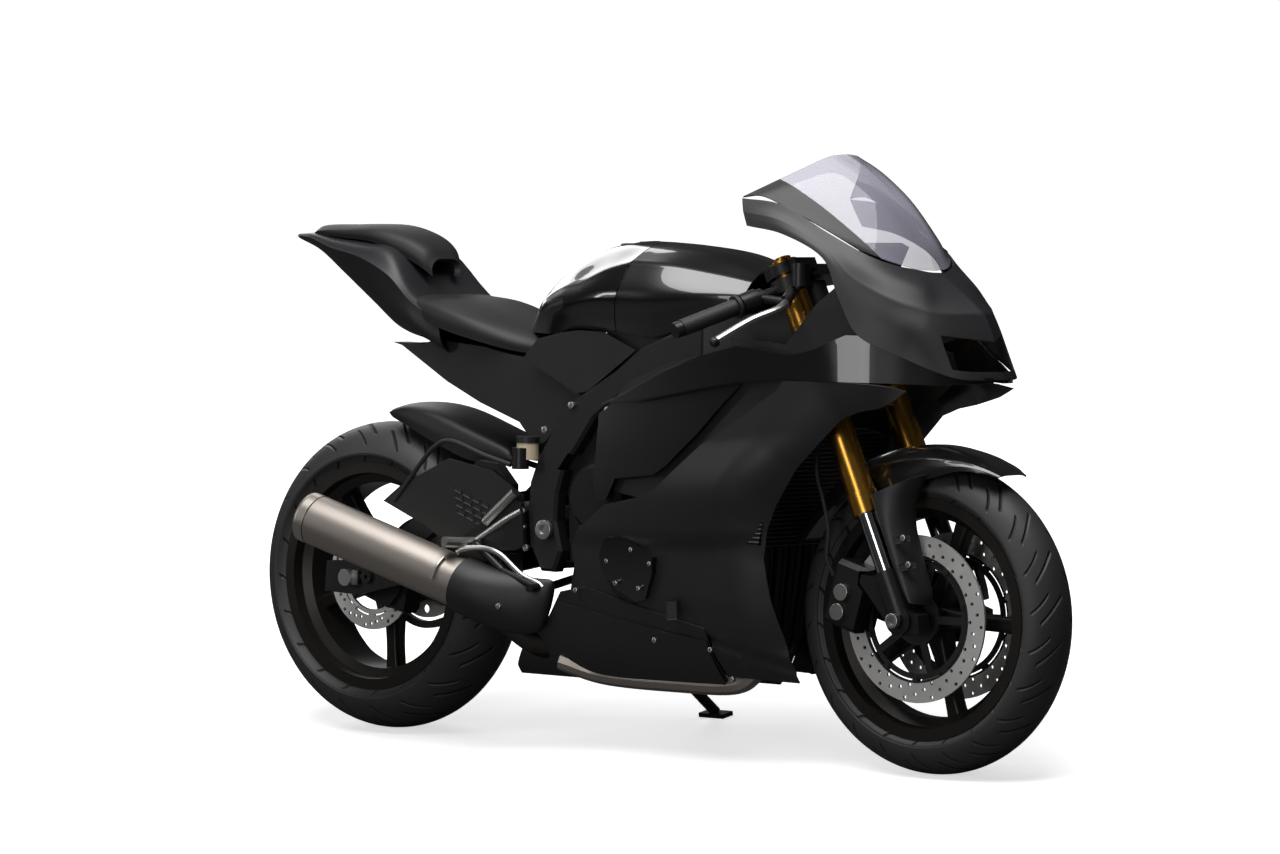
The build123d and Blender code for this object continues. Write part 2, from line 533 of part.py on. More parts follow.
# ------------------------------------------------------------------ body panels
# plan sections of the flanks: height, then (x, half width) at the rear, middle and front
FLANK_SECTIONS = [
    (140, (-320, 70), (60, 84), (520, 70)),
    (210, (-320, 122), (60, 142), (520, 118)),
    (320, (-320, 150), (100, 178), (520, 172)),
    (450, (-320, 160), (150, 199), (560, 192)),
    (600, (-320, 160), (220, 206), (700, 194)),
    (745, (-320, 150), (340, 206), (860, 160)),
    (935, (-320, 140), (340, 214), (860, 172)),
]

# plan sections of the nose: height, then (x, half width) at the rear, middle and tip
NOSE_SECTIONS = [
    (748, (300, 212), (640, 174), (840, 20)),
    (830, (300, 212), (620, 174), (812, 30)),
    (890, (300, 212), (590, 172), (788, 34)),
    (955, (300, 200), (560, 158), (688, 44)),
    (1060, (300, 176), (480, 140), (582, 50)),
    (1190, (300, 140), (400, 88), (452, 40)),
]


def plan_loft(sections, inset):
    """A smooth body through plan sections, each an arc down either side, straight across the ends.

    An inset body is narrower all round and runs past the rear end, so that it hollows the other.
    """
    faces = []
    for z, (rear_x, rear_y), (middle_x, middle_y), (front_x, front_y) in sections:
        rear_y, middle_y, front_y = rear_y - inset, middle_y - inset, front_y - inset
        rear_x, front_x = rear_x - 2 * inset, front_x - inset
        right = ThreePointArc((rear_x, -rear_y, z), (middle_x, -middle_y, z), (front_x, -front_y, z))
        left = ThreePointArc((front_x, front_y, z), (middle_x, middle_y, z), (rear_x, rear_y, z))
        outline = Curve() + [right, Line(right @ 1, left @ 0), left, Line(left @ 1, right @ 0)]
        faces.append(make_face(outline))
    return loft(faces)


def skin_panel(sections, inset, outline, y_from=-400, y_to=-20):
    """The panel that a side view outline cuts from the skin of a body, inset from its outside."""
    block = plan_loft(sections, inset) & side_prism(outline, y_from, y_to)
    return block - plan_loft(sections, inset + SKIN)


SIDE_FAIRING = [
    (716, 715), (759, 734), (701, 742), (607, 748), (465, 748), (453, 731), (405, 701), (369, 675),
    (273, 620), (224, 579), (188, 549), (163, 529), (126, 514), (26, 494), (-49, 442), (-68, 412),
    (-68, 386), (-60, 346), (13, 309), (114, 277), (250, 246), (262, 166), (425, 162), (412, 253),
    (398, 327), (399, 403), (405, 461), (429, 510), (476, 579), (577, 677), (616, 692), (663, 701)]
UPPER_PANEL = [
    (58, 690), (70, 715), (169, 757), (352, 802), (500, 797), (603, 812), (700, 798), (764, 766),
    (700, 758), (449, 751), (353, 743), (255, 727), (107, 699)]
COCKPIT_PANEL = [
    (324, 817), (430, 806), (505, 806), (580, 852), (660, 838), (600, 905), (548, 896), (540, 858),
    (500, 822), (420, 821)]
INNER_PANEL = [
    (-6, 668), (55, 681), (100, 684), (248, 674), (249, 637), (139, 556), (39, 545), (14, 500),
    (-20, 545), (-12, 600)]
BELLY = [
    (-117, 296), (-20, 280), (81, 262), (247, 236), (252, 166), (252, 140), (-283, 140), (-278, 158),
    (-224, 213), (-160, 252)]
BELLY_STAND_SIDE = [(-30, 283), (81, 262), (247, 236), (252, 140), (-30, 140)]


def fairing_nodes():
    side = skin_panel(FLANK_SECTIONS, 0, SIDE_FAIRING)
    upper = skin_panel(FLANK_SECTIONS, 0, UPPER_PANEL)
    cockpit = skin_panel(FLANK_SECTIONS, 0, COCKPIT_PANEL)
    inner = skin_panel(FLANK_SECTIONS, 16, INNER_PANEL)
    belly_right = skin_panel(FLANK_SECTIONS, 0, BELLY) - bent_tube(OUTLET_ROUTE, 40, OUTLET_RADIUS + 6)
    belly_left = mirrored(skin_panel(FLANK_SECTIONS, 0, BELLY_STAND_SIDE))
    cover_gap = across(76, 368, -260, -100, 69)
    floor = plan_prism([(-270, -75), (60, -88), (244, -83), (244, 83), (60, 88), (-28, 87), (-28, 40),
                        (-270, 40)], 146, 150)
    return {
        "side_fairing_right": side - cover_gap,
        "side_fairing_left": mirrored(side),
        "upper_panels": both_sides(upper + (inner - cover_gap)),
        "cockpit_panels": both_sides(cockpit),
        "belly_pan": belly_right + belly_left + floor,
    }


SCREEN = [(386, 1110), (462, 1182), (640, 1040), (720, 958), (664, 958), (606, 994)]
COWL = [
    (340, 1095), (384, 1107), (604, 991), (664, 955), (730, 955), (850, 880), (850, 756), (762, 772),
    (739, 808), (669, 829), (619, 839), (575, 923), (549, 968), (537, 983), (501, 1003), (465, 1021),
    (361, 1042)]


def nose_nodes():
    intake = side_prism([(658, 935), (760, 838), (822, 764), (760, 770)], -400, 400) & plan_prism(
        [(600, 100), (900, 40), (900, 26), (600, 60)], 700, 1000)
    cowl = skin_panel(NOSE_SECTIONS, 0, COWL, -400, 400)
    screen = skin_panel(NOSE_SECTIONS, 0, SCREEN, -400, 400)
    return {"upper_cowl": cowl - both_sides(intake), "windscreen": screen}


# ------------------------------------------------------------------ tank, seats and tail
# plan sections of the tank: height, then (x, half width) at the rear, middle and front
TANK_SECTIONS = [
    (780, (-310, 60), (-60, 112), (330, 110)),
    (850, (-305, 86), (-40, 150), (330, 145)),
    (910, (-285, 92), (0, 163), (325, 150)),
    (960, (-205, 70), (20, 142), (310, 130)),
    (1000, (-150, 40), (20, 84), (300, 70)),
    (1012, (-140, 20), (20, 50), (280, 40)),
]
TANK_OUTLINE = [
    (-296, 827), (-253, 901), (-239, 924), (-185, 959), (-116, 991), (-39, 1007), (28, 1007),
    (125, 1000), (259, 981), (309, 960), (309, 905), (151, 848), (88, 838), (-33, 842), (-145, 838),
    (-204, 824)]
TANK_SPLIT_TOP, TANK_SPLIT_LOW = (34, 1020), (-40, 820)


def tank_nodes():
    body = plan_loft(TANK_SECTIONS, 0) & side_prism(TANK_OUTLINE, -300, 300)
    (top_x, top_z), (low_x, low_z) = TANK_SPLIT_TOP, TANK_SPLIT_LOW
    behind = side_prism([(top_x, top_z), (low_x, low_z), (-400, low_z), (-400, top_z)], -300, 300)
    ahead = side_prism([(top_x + PANEL_GAP, top_z), (low_x + PANEL_GAP, low_z), (500, low_z),
                        (500, top_z)], -300, 300)
    pocket = Pos(CAP_X, 0, CAP_LOW - 5) * Cylinder(
        CAP_POCKET_RADIUS, 60, align=(Align.CENTER, Align.CENTER, Align.MIN))
    hinge_room = Pos(CAP_HINGE_X, 0, CAP_TOP) * Box(30, 36, 30)
    neck = Pos(CAP_X, 0, CAP_LOW - 5) * Cylinder(
        30, 4.5, align=(Align.CENTER, Align.CENTER, Align.MIN))
    louvres = [Pos(100 + 29 * n, side * 96, 966 - 7 * n) * Rot(0, 14, 0) * Box(17, 60, 14)
               for n in range(5) for side in (-1, 1)]
    cover = body & ahead
    hollow = side_prism([(60, 950), (300, 930), (300, 860), (60, 860)], -105, 105)
    plate = side_prism([(-200, 812), (-145, 825), (-96, 831), (-33, 829), (50, 795), (-70, 712),
                        (-100, 706), (-236, 774)], 128, 134)
    return {
        "fuel_tank": (body & behind) - pocket - hinge_room + neck,
        "tank_cover": cover - hollow - louvres - lock_room(BAR_CLAMP - 30, FORK_OUTER_TOP + 60, CLAMP_ROOM),
        "tank_side_covers": both_sides(plate),
        "fuel_cap": fuel_cap(),
    }


def fuel_cap():
    """The filler's hinged lid; its tab reaches the hinge at its front edge."""
    lid = Pos(CAP_X, 0, CAP_LOW) * Cylinder(
        CAP_RADIUS, CAP_TOP - CAP_LOW, align=(Align.CENTER, Align.CENTER, Align.MIN))
    lid = chamfer(lid.edges().group_by(Axis.Z)[-1], 2)
    tab = Pos(CAP_HINGE_X - 18, 0, CAP_TOP + 1.5) * Box(36, 14, 5)
    return lid + tab + across(CAP_HINGE_X, CAP_HINGE_Z - 2, -10, 10, 3.5)


SEAT_OUTLINE = [(-520, 893), (-500, 896), (-375, 868), (-304, 843), (-300, 822), (-252, 817),
                (-236, 782), (-362, 799), (-486, 812)]
SEAT_PLAN = [(-540, -128), (-470, -142), (-360, -132), (-230, -80), (-230, 80), (-360, 132),
             (-470, 142), (-540, 128)]
PAD_OUTLINE = [(-892, 1026), (-860, 1031), (-691, 1032), (-640, 1018), (-585, 990), (-560, 962),
               (-572, 928), (-600, 930), (-640, 972), (-700, 992), (-892, 1010)]
PAD_PLAN = [(-900, -38), (-700, -80), (-560, -52), (-560, 52), (-700, 80), (-900, 38)]
TAIL_OUTLINE = [(-948, 1012), (-905, 1020), (-880, 1008), (-708, 990), (-650, 992), (-604, 930),
                (-536, 896), (-490, 808), (-521, 796), (-611, 799), (-676, 838), (-696, 866),
                (-778, 904), (-826, 954)]
TAIL_PLAN = [(-950, -22), (-880, -46), (-760, -92), (-640, -122), (-560, -134), (-480, -132)]
TAIL_INNER = [(-940, -6), (-860, -24), (-740, -70), (-640, -100), (-560, -118), (-470, -118)]
UNDERTAIL = [(-604, 796), (-579, 790), (-458, 720), (-370, 680), (-267, 644), (-228, 601),
             (-200, 606), (-136, 676), (-104, 700), (-238, 768), (-362, 792), (-490, 804), (-521, 794)]


def symmetric(half):
    return half + [(x, -y) for x, y in reversed(half)]


def seat_nodes():
    seat = side_prism(SEAT_OUTLINE, -150, 150) & plan_prism(SEAT_PLAN, 700, 960)
    pad = side_prism(PAD_OUTLINE, -100, 100) & plan_prism(PAD_PLAN, 800, 1100)
    tail = side_prism(TAIL_OUTLINE, -150, 150) & plan_prism(symmetric(TAIL_PLAN), 700, 1100)
    hollow = plan_prism(symmetric(TAIL_INNER), 850, 1100)
    floor_cut = side_prism([(-1000, 850), (-400, 850), (-400, 700), (-1000, 700)], -40, 40)
    tail = tail - (hollow - floor_cut) - pad - seat
    subframe = side_prism(UNDERTAIL, 62, 108)
    bridge = side_prism([(-600, 792), (-579, 786), (-458, 724), (-370, 690), (-370, 700),
                         (-450, 740), (-560, 796)], -63, 63)
    return {
        "rider_seat": seat,
        "pillion_pad": pad,
        "tail_cowl": tail.solids().sort_by(SortBy.VOLUME)[-1],
        "subframe": both_sides(subframe) + bridge,
    }


# ------------------------------------------------------------------ cooling and exhaust
def radiator():
    core = side_prism([(352, 426), (386, 426), (432, 640), (398, 648)], -158, 158)
    tank = side_prism([(346, 430), (390, 430), (435, 634), (394, 644)], 158, 176)
    return core + both_sides(tank)


# exhaust pipes: y at the cylinder head
HEADER_PLACES = (-75, -25, 25, 75)
OUTLET_ROUTE = [(30, -26, 188), (-120, -40, 188), (-214, -130, 214), (-262, -182, 268), (-302, -188, 303)]
OUTLET_RADIUS = 25


def exhaust_header():
    pipes = Part()
    for y in HEADER_PLACES:
        pipes += bent_tube([(298, y, 584), (326, y, 566), (323, y * 0.9, 400), (300, y * 0.75, 214),
                            (200, y * 0.45 - 12, 188)], 22, 17)
    collector = between((212, -12, 188), (20, -26, 188), 33)
    outlet = bent_tube(OUTLET_ROUTE, 40, OUTLET_RADIUS)
    return pipes + collector + outlet


CAN_FRONT, CAN_REAR = (-318, -190, 313), (-722, -216, 437)


def silencer():
    """A canister with one flat side, between two end caps."""
    start, end = Vector(*CAN_FRONT), Vector(*CAN_REAR)
    along = (end - start).normalized()

    def section(fraction, width, height):
        origin = start + (end - start) * fraction
        return Plane(origin=origin, x_dir=(0, 1, 0), z_dir=along) * RectangleRounded(width, height, 36)

    shell = loft([section(0.03, 84, 108), section(0.94, 92, 120)])
    front = loft([section(0.0, 76, 98), section(0.03, 84, 108)])
    cap = loft([section(0.94, 92, 120), section(1.0, 80, 106)])
    bore = Plane(origin=end - along * 60, z_dir=along) * Cylinder(
        24, 80, align=(Align.CENTER, Align.CENTER, Align.MIN))
    return shell + front + cap - bore


def silencer_cover():
    outline = [(-300, 366), (-166, 302), (-140, 260), (-150, 226), (-200, 210), (-290, 232),
               (-342, 262)]
    shield = side_prism(outline, -238, -158)
    hollow = side_prism([(-400, 400), (-100, 300), (-160, 200), (-400, 200)], -228, -150)
    shield = (shield - hollow) & plan_prism([(-400, -238), (-260, -238), (-120, -196), (-100, -150),
                                             (-400, -150)], 100, 500)
    return shield - silencer() - bent_tube(OUTLET_ROUTE, 40, OUTLET_RADIUS + 2)


# ------------------------------------------------------------------ smaller chassis pieces
def instrument_panel():
    dash = side_prism([(492, 905), (546, 1012), (564, 1004), (512, 900)], -64, 64)
    stay = side_prism([(455, 842), (452, 870), (700, 900), (700, 884), (520, 862)], 34, 44)
    joint = side_prism([(500, 878), (500, 908), (560, 912), (560, 882)], -36, 36)
    return dash + both_sides(stay) + joint - lock_room(
        HEAD_LOW, FORK_OUTER_TOP + 8 + LEG_ROOM, FORK_OUTER_RADIUS + LEG_ROOM)


def rearsets():
    """Footrest hangers with pegs, the brake pedal, the shift lever and the rear brake's cup."""
    hanger = side_prism([(-212, 486), (-236, 492), (-302, 452), (-360, 416), (-352, 384),
                         (-230, 392), (-206, 404)], FRAME_OUT + 4.2, FRAME_OUT + 14)
    mount = across(-220, 470, FRAME_OUT - 6, FRAME_OUT + 5, 7)
    peg = between((-342, FRAME_OUT + 8, 400), (-362, FRAME_OUT + 84, 406), 11)
    pedal = between((-318, FRAME_OUT + 24, 400), (-244, FRAME_OUT + 32, 352), 8)
    pedal += between((-244, FRAME_OUT + 32, 352), (-150, FRAME_OUT + 38, 322), 7)
    pedal += between((-156, FRAME_OUT + 30, 324), (-150, FRAME_OUT + 62, 322), 8)
    pedal += between((-318, FRAME_OUT + 2, 400), (-318, FRAME_OUT + 28, 400), 10)
    side = hanger + mount + peg + pedal
    cup = Pos(-214, -FRAME_OUT - 16, 575) * Cylinder(17, 42)
    arm = between((-205, -FRAME_OUT + 20, 560), (-214, -FRAME_OUT - 4, 568), 6)
    return both_sides(side) + cup + arm


def shock_absorber():
    body = between((-226, 0, 520), (-196, 0, 640), 28)
    shaft = between((-236, 0, 478), (-226, 0, 521), 10)
    spring = between((-230, 0, 500), (-204, 0, 604), 34)
    return body + shaft + spring


# ------------------------------------------------------------------ side stand
def ground_frame():
    """The plane that both tyres rest on when the bike leans, in the upright bike's frame."""
    lean = math.radians(LEAN)
    front_ring, front_crown = crown_circle(FRONT_TYRE_RADIUS, FRONT_TYRE_HALF, FRONT_CROWN_DROP)
    rear_ring, rear_crown = crown_circle(REAR_TYRE_RADIUS, REAR_TYRE_HALF, REAR_CROWN_DROP)
    rise = (front_ring - rear_ring) * math.cos(lean) + front_crown - rear_crown
    drop = (FRONT_Z - REAR_Z) * math.cos(lean)
    pitch = math.asin((rise - drop) / WHEELBASE)
    height = front_ring * math.cos(lean) + front_crown
    return lean, pitch, height


LEAN_RAD, PITCH_RAD, FRONT_AXLE_HEIGHT = ground_frame()
LEANED = Rot(X=-math.degrees(LEAN_RAD)) * Rot(Y=-math.degrees(PITCH_RAD))
GROUND_SHIFT = FRONT_AXLE_HEIGHT - (LEANED * Pos(FRONT_X, 0, FRONT_Z)).position.Z
ON_GROUND = Pos(0, 0, GROUND_SHIFT) * LEANED


def to_bike(point):
    """A point given on the level ground, in the upright bike's frame."""
    return (ON_GROUND.inverse() * Pos(*point)).position


def stand_top():
    """The middle of the foot's upper face, which lies flat when the bike leans."""
    foot_y = (ON_GROUND * Pos(STAND_FOOT_X, STAND_FOOT_Y, 0)).position.Y
    return to_bike((STAND_FOOT_X, foot_y, FOOT_THICK))


def stand_axis():
    down = (stand_top() - Vector(*STAND_PIVOT)).normalized()
    return down.cross(Vector(*STAND_FOLDED).normalized()).normalized()


def side_stand():
    """The leg from its pivot to a pad that lies flat on the ground."""
    foot_y = (ON_GROUND * Pos(STAND_FOOT_X, STAND_FOOT_Y, 0)).position.Y
    pad = ON_GROUND.inverse() * (Pos(STAND_FOOT_X, foot_y, FOOT_THICK / 2) * Box(
        FOOT_LENGTH, FOOT_WIDTH, FOOT_THICK))
    down = (stand_top() - Vector(*STAND_PIVOT)).normalized()
    start = Vector(*STAND_PIVOT) + down * 30
    leg = between(start, stand_top(), STAND_RADIUS)
    pivot = Plane(origin=STAND_PIVOT, z_dir=stand_axis())
    eye = pivot * Cylinder(17, STAND_EYE) + between(STAND_PIVOT, start + down, STAND_EYE / 2)
    return pad + leg + eye - pivot * Cylinder(STAND_PIN_RADIUS + RUNNING, 60)


def stand_bracket():
    """The two ears and the pin that hold the stand, on a stalk from the frame's lower end."""
    axis = stand_axis()
    middle = Vector(*STAND_PIVOT)
    away = ((stand_top() - middle).normalized() + Vector(*STAND_FOLDED).normalized()).normalized()
    pivot = Plane(origin=STAND_PIVOT, z_dir=axis)
    ear_middle = STAND_EYE / 2 + 0.6 + EAR / 2
    ears = [pivot * Pos(0, 0, side * ear_middle) * Cylinder(15, EAR) for side in (-1, 1)]
    pin = pivot * Cylinder(STAND_PIN_RADIUS, 2 * ear_middle + EAR)
    root = middle - away * 38
    arms = [between(root + axis * side * ear_middle, middle - away * 8 + axis * side * ear_middle, EAR / 2 - 0.6)
            for side in (-1, 1)]
    yoke = between(root - axis * 15, root + axis * 15, 10)
    knee = (-98, 130, 262)
    stalk = [between((-150, 135, 356), knee, 12), Pos(*knee) * Sphere(13), between(knee, root, 10.5)]
    return Part() + ears + arms + stalk + [pin, yoke]


# ------------------------------------------------------------------ all nodes, by body
def build():
    steering = {
        "triple_clamps": triple_clamps(),
        "fork_outer_tubes": fork_outer(FORK_Y) + fork_outer(-FORK_Y),
        "fork_inner_tubes": fork_inner(FORK_Y) + fork_inner(-FORK_Y),
        "axle_carriers": axle_carriers(),
        "front_calipers": front_calipers(),
        "handlebars": handlebars(),
        "grips": grips(),
        "hand_controls": hand_controls(),
        "front_fender": front_fender(),
    }
    chassis = {
        "frame": frame(),
        "engine_block": engine_block(),
        "engine_covers": engine_covers(),
        "radiator": radiator(),
        "exhaust_header": exhaust_header(),
        "silencer": silencer(),
        "silencer_cover": silencer_cover(),
        "instrument_panel": instrument_panel(),
        "rearsets": rearsets(),
        "swingarm": swingarm(),
        "rear_axle": rear_axle(),
        "rear_caliper": rear_caliper(),
        "drive_chain": chain_loop(0),
        "rear_hugger": rear_hugger(),
        "shock_absorber": shock_absorber(),
    }
    chassis.update(fairing_nodes())
    chassis.update(nose_nodes())
    chassis.update(seat_nodes())
    tank = tank_nodes()
    fuel_cap_body = {"fuel_cap": tank.pop("fuel_cap")}
    chassis.update(tank)
    return {
        "chassis": chassis,
        "steering": steering,
        "front_wheel": front_wheel_nodes(),
        "rear_wheel": rear_wheel_nodes(),
        "side_stand": {"side_stand": side_stand()},
        "fuel_cap": fuel_cap_body,
    }


BODIES = build()
NODES = {name: shape for nodes in BODIES.values() for name, shape in nodes.items()}
BOX = Compound([ON_GROUND * shape for shape in NODES.values()]).bounding_box()
PARKED = Pos(-(BOX.min.X + BOX.max.X) / 2, -(BOX.min.Y + BOX.max.Y) / 2, 0) * ON_GROUND

os.makedirs("parts", exist_ok=True)
for node, shape in NODES.items():
    export_step(PARKED * shape, f"parts/{node}.step")
print(len(NODES), "nodes, box", BOX.size)
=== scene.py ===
"""A parked sport motorcycle: looks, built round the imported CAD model."""
import contextlib
import json
import math

import bpy
from mathutils import Matrix, Vector


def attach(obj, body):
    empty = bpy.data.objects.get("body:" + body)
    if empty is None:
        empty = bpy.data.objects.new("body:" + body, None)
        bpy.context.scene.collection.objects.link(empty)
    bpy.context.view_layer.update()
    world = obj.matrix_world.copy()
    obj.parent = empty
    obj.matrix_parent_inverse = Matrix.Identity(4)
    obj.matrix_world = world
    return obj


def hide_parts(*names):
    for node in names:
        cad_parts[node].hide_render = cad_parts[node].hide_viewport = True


bl_info = {
    "name": "Sport Motorcycle",
    "version": (1, 0, 0),
    "blender": (4, 5, 0),
    "location": "View3D > Sidebar > Motorcycle",
    "description": "Builds the tyres, panels, seats and fittings of a parked sport motorcycle",
    "category": "Add Mesh",
}

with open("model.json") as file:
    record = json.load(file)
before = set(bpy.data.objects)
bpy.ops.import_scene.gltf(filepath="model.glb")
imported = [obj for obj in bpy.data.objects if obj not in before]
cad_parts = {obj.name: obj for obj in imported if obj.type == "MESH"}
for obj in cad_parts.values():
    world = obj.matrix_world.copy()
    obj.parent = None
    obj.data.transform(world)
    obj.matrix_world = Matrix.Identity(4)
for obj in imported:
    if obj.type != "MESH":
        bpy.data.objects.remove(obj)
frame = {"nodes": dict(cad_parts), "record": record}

# ------------------------------------------------------------------ places, in the upright bike's frame
MM = 0.001
FRONT_AXLE = Vector((0.6875, 0, 0.300))
REAR_AXLE = Vector((-0.6875, 0, 0.315))

# the turn and the shift from the upright bike's frame to the parked one
LEAN = math.radians(9.5)
PITCH = math.radians(-0.020406)
GROUND_SHIFT = Vector((0.00739048, -0.137246, 0.00107282))
PARKED = Matrix.Translation(GROUND_SHIFT) @ Matrix.Rotation(-LEAN, 4, "X") @ Matrix.Rotation(-PITCH, 4, "Y")

# the camera of the reference view, placed in the upright bike's frame
CAMERA_AZIMUTH = math.radians(38.8387)
CAMERA_ELEVATION = math.radians(2.2236)
CAMERA_ROLL = math.radians(0.6381)
CAMERA_AIM = Vector((-0.04479, 0, 0.63891))
CAMERA_DISTANCE = 11.4927
CAMERA_LENS, CAMERA_SENSOR = 162.92, 36       # mm


# ------------------------------------------------------------------ settings a user would change
class MotorcyclePaint(bpy.types.PropertyGroup):
    panel: bpy.props.FloatVectorProperty(
        name="Satin Panels", description="Colour of the matt fairing and tail",
        subtype="COLOR", size=3, min=0, max=1, default=(0.012, 0.012, 0.014))
    gloss: bpy.props.FloatVectorProperty(
        name="Gloss Panels", description="Colour of the tank and the gloss panels",
        subtype="COLOR", size=3, min=0, max=1, default=(0.003, 0.003, 0.0035))
    fork: bpy.props.FloatVectorProperty(
        name="Fork Tubes", description="Colour of the anodised fork tubes",
        subtype="COLOR", size=3, min=0, max=1, default=(0.66, 0.33, 0.055))
    rim: bpy.props.FloatVectorProperty(
        name="Rims", description="Colour of the wheel rims",
        subtype="COLOR", size=3, min=0, max=1, default=(0.022, 0.020, 0.018))


class MotorcycleStage(bpy.types.PropertyGroup):
    floor_size: bpy.props.FloatProperty(
        name="Floor Size", description="Side of the square studio floor",
        subtype="DISTANCE", default=80.0, min=5)
    key_power: bpy.props.FloatProperty(
        name="Overhead Light", description="Power of the softbox above the bike, in watts",
        default=150.0, min=0)
    side_power: bpy.props.FloatProperty(
        name="Side Light", description="Power of the upright softbox at the camera's side, in watts",
        default=34.0, min=0)


# ------------------------------------------------------------------ mesh helpers
WELD, SEAM_WELD, CELL_WELD, MIRROR_WELD = 0.01 * MM, 0.2 * MM, 0.5 * MM, 0.4 * MM
EDGE_ROUND, EDGE_STEPS, EDGE_ANGLE = 0.6 * MM, 2, math.radians(50)
SMOOTH_ANGLE = math.radians(35)
TUBE_STEPS, TUBE_SIDES = 10, 3          # steps between two points of a tube, and Blender's bevel resolution
FACING = 0.9                            # least share of a face's normal along the way that it faces


def deselect_all():
    """Leaves edit mode, and every object deselected."""
    if bpy.context.object and bpy.context.object.mode == "EDIT":
        bpy.ops.object.mode_set(mode="OBJECT")
    bpy.ops.object.select_all(action="DESELECT")


def only(obj):
    """Makes obj the one selected and active object."""
    deselect_all()
    obj.select_set(True)
    bpy.context.view_layer.objects.active = obj
    return obj


@contextlib.contextmanager
def editing(obj):
    """Edit mode on obj alone, for the operators inside the block."""
    only(obj)
    bpy.ops.object.mode_set(mode="EDIT")
    yield
    bpy.ops.object.mode_set(mode="OBJECT")


def new_object(name):
    """The object that the last operator added, with its name."""
    made = bpy.context.object
    made.name = name
    return made


def apply_modifiers(obj):
    """Applies every modifier, in order."""
    only(obj)
    for modifier in list(obj.modifiers):
        bpy.ops.object.modifier_apply(modifier=modifier.name)


def place(obj, body, look, replaces=()):
    """Finishes a piece: parks it at the origin, smooths it, gives it its material, body and slot."""
    apply_modifiers(obj)
    only(obj)
    bpy.ops.object.transform_apply(location=True, rotation=True, scale=True)
    obj.data.transform(PARKED)
    obj.data.update()
    bpy.ops.object.shade_smooth_by_angle(angle=SMOOTH_ANGLE)
    even = obj.modifiers.new("even", "WEIGHTED_NORMAL")
    even.keep_sharp = True
    bpy.ops.object.modifier_apply(modifier=even.name)
    obj.data.materials.clear()
    obj.data.materials.append(MATERIALS[look])
    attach(obj, body)
    if replaces:
        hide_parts(*replaces)
    return obj


def hermite(points, corners, share):
    """The point at share (0 to 1) of a smooth curve through the points, with corners at the listed ones."""
    last = len(points) - 1
    place_on = min(max(share, 0) * last, last - 1e-9)
    k = int(place_on)
    t = place_on - k
    start, end = points[k], points[k + 1]
    leave = end - start if k == 0 or k in corners else (end - points[k - 1]) / 2
    arrive = end - start if k + 1 == last or k + 1 in corners else (points[k + 2] - start) / 2
    return ((2 * t ** 3 - 3 * t ** 2 + 1) * start + (t ** 3 - 2 * t ** 2 + t) * leave
            + (3 * t ** 2 - 2 * t ** 3) * end + (t ** 3 - t ** 2) * arrive)


def select_faces(obj, test):
    """Selects the faces that pass the test, and nothing else, with faces as what edit mode selects."""
    only(obj)
    bpy.context.tool_settings.mesh_select_mode = (False, False, True)
    for part in (*obj.data.vertices, *obj.data.edges):
        part.select = False
    for face in obj.data.polygons:
        face.select = test(face)


def add_mirror(obj):
    """The other side, about the bike's middle plane."""
    mirror = obj.modifiers.new("mirror", "MIRROR")
    mirror.use_axis = (False, True, False)
    mirror.merge_threshold = MIRROR_WELD


def both(obj):
    """The piece with its copy on the other side."""
    add_mirror(obj)
    apply_modifiers(obj)
    return obj


def finish_sheet(sheet, outward, mirror, wall):
    """Turns most of a sheet's faces outward, and adds its other side, its thickness in mm and round edges."""
    sheet.data.update()
    outward = Vector(outward)
    if sum(face.normal.dot(outward) * face.area for face in sheet.data.polygons) < 0:
        with editing(sheet):
            bpy.ops.mesh.select_all(action="SELECT")
            bpy.ops.mesh.flip_normals()
    if mirror:
        add_mirror(sheet)
    if wall:
        inwards = sheet.modifiers.new("wall", "SOLIDIFY")
        inwards.thickness, inwards.offset = wall * MM, -1
        edge = sheet.modifiers.new("edge", "BEVEL")
        edge.width, edge.segments, edge.limit_method = EDGE_ROUND, EDGE_STEPS, "ANGLE"
        edge.angle_limit = EDGE_ANGLE
    return sheet


def loft(name, stations, corners=(), station_corners=(), steps=(5, 5), hole=None, outward=(0, -1, 0.6),
         mirror=True, wall=3.0):
    """A sheet through stations, each a row of (x, y, z) in mm, smooth but for the listed corners.

    hole is a test on (share along a station, share across the stations) for faces to leave out.
    """
    rows = [[Vector(point) * MM for point in station] for station in stations]
    columns_of, rows_of = (len(rows[0]) - 1) * steps[0], (len(rows) - 1) * steps[1]
    deselect_all()
    bpy.ops.mesh.primitive_grid_add(x_subdivisions=columns_of, y_subdivisions=rows_of, size=2)
    sheet = new_object(name)
    if hole:
        select_faces(sheet, lambda face: hole((face.center.x + 1) / 2, (face.center.y + 1) / 2))
        with editing(sheet):
            bpy.ops.mesh.delete(type="FACE")
    for vertex in sheet.data.vertices:
        along, across = (vertex.co.x + 1) / 2, (vertex.co.y + 1) / 2
        vertex.co = hermite([hermite(row, corners, along) for row in rows], station_corners, across)
    return finish_sheet(sheet, outward, mirror, wall)


